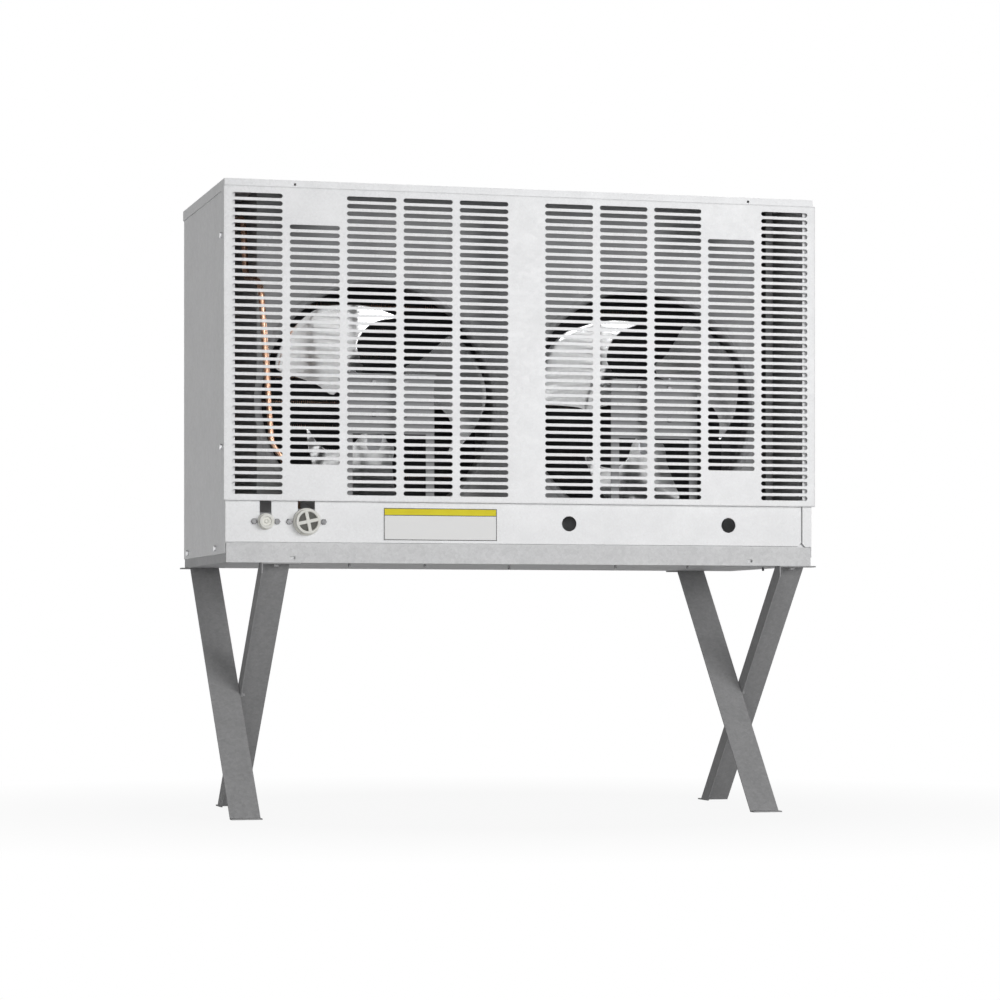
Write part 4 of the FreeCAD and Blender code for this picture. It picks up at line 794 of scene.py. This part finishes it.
def returnBends(side, hand, firstRow):
    start = coilLow.x - coilPlate if hand < 0 else coilHigh.x + coilPlate
    half, tube = coil["tubePitch"] / 2, coil["tubeAcross"] / 2
    wide = tube + socketSize["wall"]
    socket = [(0, wide), (socketSize["long"], wide), (socketSize["end"], tube + socketSize["lip"])]
    turns = [math.pi * k / 16 for k in range(17)]
    form = bmesh.new()
    for bank in range(coil["banks"]):
        depth = bankDepth(bank)
        for row in range(firstRow, coil["rows"] - 1 - firstRow, 2):
            middle = (tubeHeight(row) + tubeHeight(row + 1)) / 2
            arc = [Vector((start + hand * half * 0.9 * math.sin(turn), depth, middle + half * math.cos(turn)))
                   for turn in turns]
            skinTube(form, arc, tube, 14)
            for level in (middle + half, middle - half):
                place = Matrix.Translation((start, depth, level))
                spinRings(form, socket, 14, place @ Matrix.Rotation(-hand * quarter, 4, "Z"))
    addPiece("returnBends_" + side, toMesh("returnBends", form), copperTube,
             replaced=["return_bends_" + side], crease=50)


coilFins()
coilTubes()
returnBends("left", -1, 1)
returnBends("right", 1, 0)
print("coil made")

header = dict(inMm(across=15.9, shoulder=2, cap=4, weld=1, weldRise=1.2, weldEnd=3), reach=0.75, offset=1.5)
headerX = coilLow.x - coilPlate - header["offset"] * header["across"]


def coilHeader(name, node, row):
    reach = header["across"] * header["reach"]
    start, end = bankDepth(0) - reach, bankDepth(1) + reach
    radius, tube = header["across"] / 2, coil["tubeAcross"] / 2
    shoulder, cap = header["shoulder"], header["cap"]
    tank = [(start, 0), (start, radius * 0.6), (start + shoulder, radius * 0.95), (start + cap, radius),
            (end - cap, radius), (end - shoulder, radius * 0.95), (end, radius * 0.6), (end, 0)]
    stub = [(0, tube), (radius, tube), (radius + header["weld"], tube + header["weldRise"]),
            (radius + header["weldEnd"], tube), (coilLow.x - coilPlate - headerX, tube)]
    form = bmesh.new()
    spinRings(form, tank, 28, Matrix.Translation((headerX, 0, tubeHeight(row))))
    for bank in range(coil["banks"]):
        place = Matrix.Translation((headerX, bankDepth(bank), tubeHeight(row)))
        spinRings(form, stub, 16, place @ Matrix.Rotation(-quarter, 4, "Z"))
    addPiece(name, toMesh(name, form), copperTube, replaced=[node], crease=40)


coilHeader("gasHeader", "gas_header", 0)
coilHeader("liquidHeader", "liquid_header", coil["rows"] - 1)

# pipes from the couplings to the headers; the larger one rises in front of the wall's left edge
tubing = inMm(across=9.5, bend=26, wallEdge=-388, ahead=52)
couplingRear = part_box("discharge_coupling")[1].y


def headerFront(row):
    return Vector((headerX, bankDepth(0) - header["across"] * header["reach"], tubeHeight(row)))


def dischargePipe():
    start, end = Vector((bigFit.x, couplingRear, bigFit.z)), headerFront(0)
    plane, edge, axis = shroudLow.y - tubing["ahead"], tubing["wallEdge"], fanAxis["fan_left"].z
    points = [start, start + Vector((0, 34 * mm, 0)),
              (edge + 50 * mm, plane + 8 * mm, axis - 118 * mm), (edge + 13 * mm, plane, axis - 66 * mm),
              (edge - 4 * mm, plane, axis + 170 * mm), (edge - 9 * mm, plane + 92 * mm, axis + 182 * mm),
              (headerX - 1 * mm, plane + 104 * mm, end.z - 8 * mm), end - Vector((0, 60 * mm, 0)), end]
    pipe("dischargePipe", points, ["discharge_line"])


def liquidPipe():
    start, end = Vector((smallFit.x, couplingRear, bigFit.z)), headerFront(coil["rows"] - 1)
    points = [start, start + Vector((0, 30 * mm, 0)), (headerX, shroudLow.y + 20 * mm, start.z - 12 * mm),
              (headerX - 2 * mm, (end.y + start.y) / 2 + 60 * mm, end.z + 6 * mm),
              end - Vector((0, 30 * mm, 0)), end]
    pipe("liquidPipe", points, ["liquid_line"])


dischargePipe()
liquidPipe()
print("pipes made")


# couplings and their dust caps

thread = inMm(pitch=1.5, crest=0.75, deep=0.7, lead=0.6, runOut=2.2)
fitting = inMm(lip=0.8, groove=1.2, step=0.4, neckEnd=4.3, nutStart=4.4, nutEase=1, nutLong=10, tailRoot=7.4,
               tailTip=6.3, tailEnd=5.6)


def coupling(name, node, noseAcross, neckAcross, hexAcross):
    low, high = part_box(node)
    centre = middleOf(node)
    place = Matrix.Translation((centre.x, 0, centre.z))
    face, rear, ease = valveLow.y, valveLow.y + fitting["nutStart"], fitting["nutEase"]
    nose, neck, hexReach = noseAcross / 2, neckAcross / 2, hexAcross / 2
    profile = [(low.y, nose * 0.55), (low.y, nose - fitting["lip"])]
    crest = low.y + thread["lead"]
    while crest < face - thread["runOut"]:
        profile += [(crest, nose), (crest + thread["crest"], nose - thread["deep"])]
        crest += thread["pitch"]
    profile += [(face - fitting["groove"], nose - fitting["step"]), (face - fitting["step"], neck),
                (face + fitting["neckEnd"], neck)]
    form = bmesh.new()
    spinRings(form, profile, 40, place)
    # six flats behind the panel, then the tail that takes the pipe
    end = rear + fitting["nutLong"]
    flats = [(rear, hexReach * 0.9), (rear + ease, hexReach), (end - ease, hexReach), (end, hexReach * 0.9)]
    tail = [(end, fitting["tailRoot"]), (high.y - ease, fitting["tailTip"]), (high.y, fitting["tailEnd"]),
            (high.y, 0)]
    spinRings(form, flats, 6, place)
    spinRings(form, flats[3:] + tail, 24, place)
    addPiece(name, toMesh(name, form), turnedBrass, replaced=[node], crease=28)


coupling("dischargeCoupling", "discharge_coupling", 28 * mm, 23 * mm, 30 * mm)
coupling("liquidCoupling", "liquid_coupling", 15 * mm, 15 * mm, 22 * mm)

bigCap = dict(inMm(across=36, bore=28.2, wall=3, barWide=5, collarAcross=40, collarThick=2.6, waist=33),
              node="discharge_cap", dish=0.80, turn=12, bars=2, grips=40)
smallCap = dict(inMm(across=21.5, bore=15.2, wall=3, barWide=0, collarAcross=23.8, collarThick=2.2,
                     waist=19.5), node="liquid_cap", dish=0.62, turn=0, bars=0, grips=28)
# the open cap's bars and the disc where they cross, the closed cap's boss, and the grips round both
capForm = inMm(barEdge=0.9, barTop=0.35, discRadius=3.6, discTop=0.28, discFlat=3, openEase=0.7,
               closedEase=0.5, bossTop=0.9, gripSink=0.15, gripRise=0.7, gripWide=0.9)


def dustCap(name, cap):
    low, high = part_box(cap["node"])
    centre = middleOf(cap["node"])
    place = Matrix.Translation((centre.x, low.y, centre.z))
    long = high.y - low.y
    outer, bore, wall = cap["across"] / 2, cap["bore"] / 2, cap["wall"]
    dish, collar, waist = outer * cap["dish"], cap["collarAcross"] / 2, cap["waist"] / 2
    profile = [(long, bore), (long, collar), (long - cap["collarThick"], collar),
               (long - cap["collarThick"], waist), (long * 0.52, waist), (long * 0.52, outer), (0, outer),
               (0, dish)]
    form = bmesh.new()
    if cap["bars"]:
        # open between its bars, so that the seal shows
        profile += [(wall * 0.9, dish * 0.96), (wall, bore), (long, bore)]
        spinRings(form, softProfile(profile, capForm["openEase"])[:-1], 72, place, close=True)
    else:
        deep, boss = wall * 0.78, capForm["bossTop"]
        profile += [(deep, dish * 0.95), (deep, dish * 0.56), (boss, dish * 0.5), (boss, dish * 0.3),
                    (deep, dish * 0.25), (deep, 0)]
        spinRings(form, softProfile(profile, capForm["closedEase"]), 72, place)
        spinRings(form, [(long, bore), (wall, bore), (wall, 0)], 72, place)
    half, rear = cap["barWide"] / 2, wall * 0.92
    edge, top = capForm["barEdge"], capForm["barTop"]
    section = [(-half, rear), (-half, edge), (-half * 0.7, top), (half * 0.7, top), (half, edge),
               (half, rear)]
    for k in range(cap["bars"]):
        # crossed bars, rounded along their length, that stand in the dish
        turn = place @ Matrix.Rotation(-math.radians(cap["turn"]) + quarter * k, 4, "Y")
        ends = [[form.verts.new(turn @ Vector((x * dish * 1.02, y, z))) for z, y in section] for x in (-1, 1)]
        skinRows(form, ends, close=True)
    if cap["bars"]:
        disc = [(rear, capForm["discRadius"]), (edge, capForm["discRadius"]),
                (capForm["discTop"], capForm["discFlat"]), (capForm["discTop"], 0)]
        spinRings(form, disc, 32, place)
    for k in range(cap["grips"]):
        ribRound(form, place, math.tau * k / cap["grips"], (outer - capForm["gripSink"], long * 0.27, 0),
                 (capForm["gripRise"], long * 0.36, capForm["gripWide"]))
    addPiece(name, toMesh(name, form), capPlastic, cap["node"], [cap["node"]], 35)


dustCap("dischargeCap", bigCap)
dustCap("liquidCap", smallCap)
print("couplings made")


# blank sticker with a yellow head and a thin dark outline

label = inMm(head=10, line=1.1)


def blankLabel():
    low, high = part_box("blank_label")
    ink = label["line"]
    columns = [low.x, low.x + ink, high.x - ink, high.x]
    rows = [low.z, low.z + ink, high.z - label["head"] - ink, high.z - label["head"], high.z - ink, high.z]
    form = bmesh.new()
    front = [[form.verts.new((x, low.y, z)) for x in columns] for z in rows]
    for j in range(len(rows) - 1):
        for i in range(len(columns) - 1):
            tile = form.faces.new([front[j][i], front[j][i + 1], front[j + 1][i + 1], front[j + 1][i]])
            rim = i != 1 or j in (0, 2, 4)
            tile.material_index = 2 if rim else (1 if j == 3 else 0)
    border = bmesh.ops.extrude_edge_only(form, edges=[edge for edge in form.edges if edge.is_boundary])
    for item in border["geom"]:
        if isinstance(item, bmesh.types.BMVert):
            item.co.y = high.y
    addPiece("blankLabel", toMesh("blankLabel", form), [labelFilm, labelYellow, labelInk],
             replaced=["blank_label"])


blankLabel()


# finishes of the parts that keep their solid shape

finishOf = {
    galvanizedSheet: ["side_panel_left", "side_panel_right", "top_cover"],
    panSheet: ["base_pan"],
    # these parts take the darkened sheet, whose dark grey is painted shade
    shadedInnerSheet: ["plenum_baffle", "junction_box", "coil_end_plate_left", "coil_end_plate_right",
                 "discharge_flange", "liquid_flange"],
    legSteel: ["leg_front_left", "leg_rear_left", "leg_front_right", "leg_rear_right", "leg_bolts",
               "leg_nuts"],
    darkScrew: ["flange_screws", "motor_screws", "floor_screws"],
    shaftSteel: ["fan_shaft_left", "fan_shaft_right"],
    zincScrew: ["side_screws", "cover_screws"],
    sealRubber: ["discharge_cap_seal", "liquid_cap_seal"],
}
# widths of their rounded edges, in millimetres
edgeOf = {
    0.7: ["base_pan", "side_panel_left", "side_panel_right", "top_cover", "leg_front_left", "leg_rear_left",
          "leg_front_right", "leg_rear_right"],
    0.5: ["side_screws", "flange_screws", "motor_screws", "floor_screws", "cover_screws", "leg_bolts",
          "leg_nuts"],
    0.4: ["junction_box", "coil_end_plate_left", "coil_end_plate_right", "discharge_flange", "liquid_flange"],
}
for finish, names in finishOf.items():
    for name in names:
        part = nodes[name]
        part.data.materials.clear()
        part.data.materials.append(finish)
for width, names in edgeOf.items():
    for name in names:
        part = nodes[name]
        weld = part.modifiers.new("weld", "WELD")
        weld.merge_threshold = 0.01 * mm
        flat = part.modifiers.new("flatFaces", "DECIMATE")
        flat.decimate_type = "DISSOLVE"
        flat.angle_limit = math.radians(1)
        roundEdges(part, width * mm)
print("finishes given")


# floor, light and camera

studio = {"floor": 0.35, "floorRadius": 14, "worldLevel": 0.20, "ceiling": 0.12, "glowNear": 0.92,
          "fadeNear": 0.5, "fadeFar": 1.2}
lamps = {
    "keyLamp": dict(place=(1.5, -4.1, 1.15), target=(0, 0, 0.6), size=(2.4, 1.6), energy=66),
    "fillLamp": dict(place=(-1.1, -3.7, 0.5), target=(-0.1, 0, 0.45), size=(1.4, 0.8), energy=19),
    "rearLamp": dict(place=(1.4, 4.0, 2.2), target=(0, 0, 0.6), size=(2.4, 2.0), energy=48),
}


def seenWhite(tree):
    # 1 for rays that see the background: straight from the camera, mirrored or passed through
    path = addNode(tree, "LightPath")
    total = path.outputs["Is Camera Ray"]
    for output in ("Is Glossy Ray", "Is Transmission Ray"):
        either = addNode(tree, "Math", operation="MAXIMUM")
        tree.links.new(total, either.inputs[0])
        tree.links.new(path.outputs[output], either.inputs[1])
        total = either.outputs[0]
    return total


def studioWorld():
    world = bpy.data.worlds.new("studio")
    bpy.context.scene.world = world
    world.use_nodes = True
    tree = world.node_tree
    link = tree.links.new
    background = tree.nodes["Background"]
    background.inputs["Color"].default_value = (1, 1, 1, 1)
    # white for the camera; metal sees white at the sides and a darker ceiling; soft light elsewhere
    heading = addNode(tree, "TexCoord")
    parts = addNode(tree, "SeparateXYZ")
    link(heading.outputs["Generated"], parts.inputs[0])
    ceiling = spread(tree, parts.outputs["Z"], 1.0, studio["ceiling"], 0.1, 0.75)
    path = addNode(tree, "LightPath")
    seen = addNode(tree, "Mix")
    link(path.outputs["Is Camera Ray"], seen.inputs["Factor"])
    link(ceiling, seen.inputs["A"])
    seen.inputs["B"].default_value = 1
    level = addNode(tree, "Mix", {"A": studio["worldLevel"]})
    link(seenWhite(tree), level.inputs["Factor"])
    link(seen.outputs["Result"], level.inputs["B"])
    link(level.outputs["Result"], background.inputs["Strength"])


def studioFloor():
    form = bmesh.new()
    bmesh.ops.create_circle(form, cap_ends=True, radius=studio["floorRadius"], segments=64)
    mesh = toMesh("floor", form)
    floor = newObject("floor", mesh)
    floor.location.z = cadBox[0][2] - 0.05 * mm
    material, tree, surface = newShader("floorWhite", 0.0)
    link = tree.links.new
    surface.inputs["Base Color"].default_value = (*[studio["floor"]] * 3, 1)
    surface.inputs["Roughness"].default_value = 0.9
    glow = addNode(tree, "Emission", {"Color": (1, 1, 1, 1), "Strength": 1.0})
    mix = addNode(tree, "MixShader")
    place = addNode(tree, "TexCoord")
    far = addNode(tree, "VectorMath", operation="LENGTH")
    link(place.outputs["Object"], far.inputs[0])
    fade = spread(tree, far.outputs["Value"], studio["glowNear"], 1.0, studio["fadeNear"], studio["fadeFar"])
    share = addNode(tree, "Math", operation="MULTIPLY")
    link(seenWhite(tree), share.inputs[0])
    link(fade, share.inputs[1])
    link(share.outputs[0], mix.inputs[0])
    link(surface.outputs[0], mix.inputs[1])
    link(glow.outputs[0], mix.inputs[2])
    link(mix.outputs[0], tree.nodes["Material Output"].inputs["Surface"])
    mesh.materials.append(material)


def areaLamp(name, place, target, size, energy):
    light = bpy.data.lights.new(name, "AREA")
    light.shape = "RECTANGLE"
    light.size, light.size_y = size
    light.energy = energy
    lamp = newObject(name, light)
    lamp.location = place
    lamp.rotation_euler = (Vector(target) - Vector(place)).to_track_quat("-Z", "Y").to_euler()


studioWorld()
studioFloor()
for name, lamp in lamps.items():
    areaLamp(name, **lamp)

camera = {"place": (-1.23652, -4.66223, 0.25935), "turn": 14.97, "focal": 3136.08, "pictureWide": 1000,
          "sensor": 36, "shiftUp": 0.14024}
view = bpy.data.cameras.new("photoView")
view.sensor_width = camera["sensor"]
view.lens = camera["focal"] / camera["pictureWide"] * camera["sensor"]
view.shift_y = camera["shiftUp"]
view.clip_end = 60
viewer = newObject("photoView", view)
viewer.location = camera["place"]
viewer.rotation_euler = (quarter, 0, -math.radians(camera["turn"]))
bpy.context.scene.camera = viewer
bpy.context.scene.view_settings.view_transform = "Standard"
print("studio made")
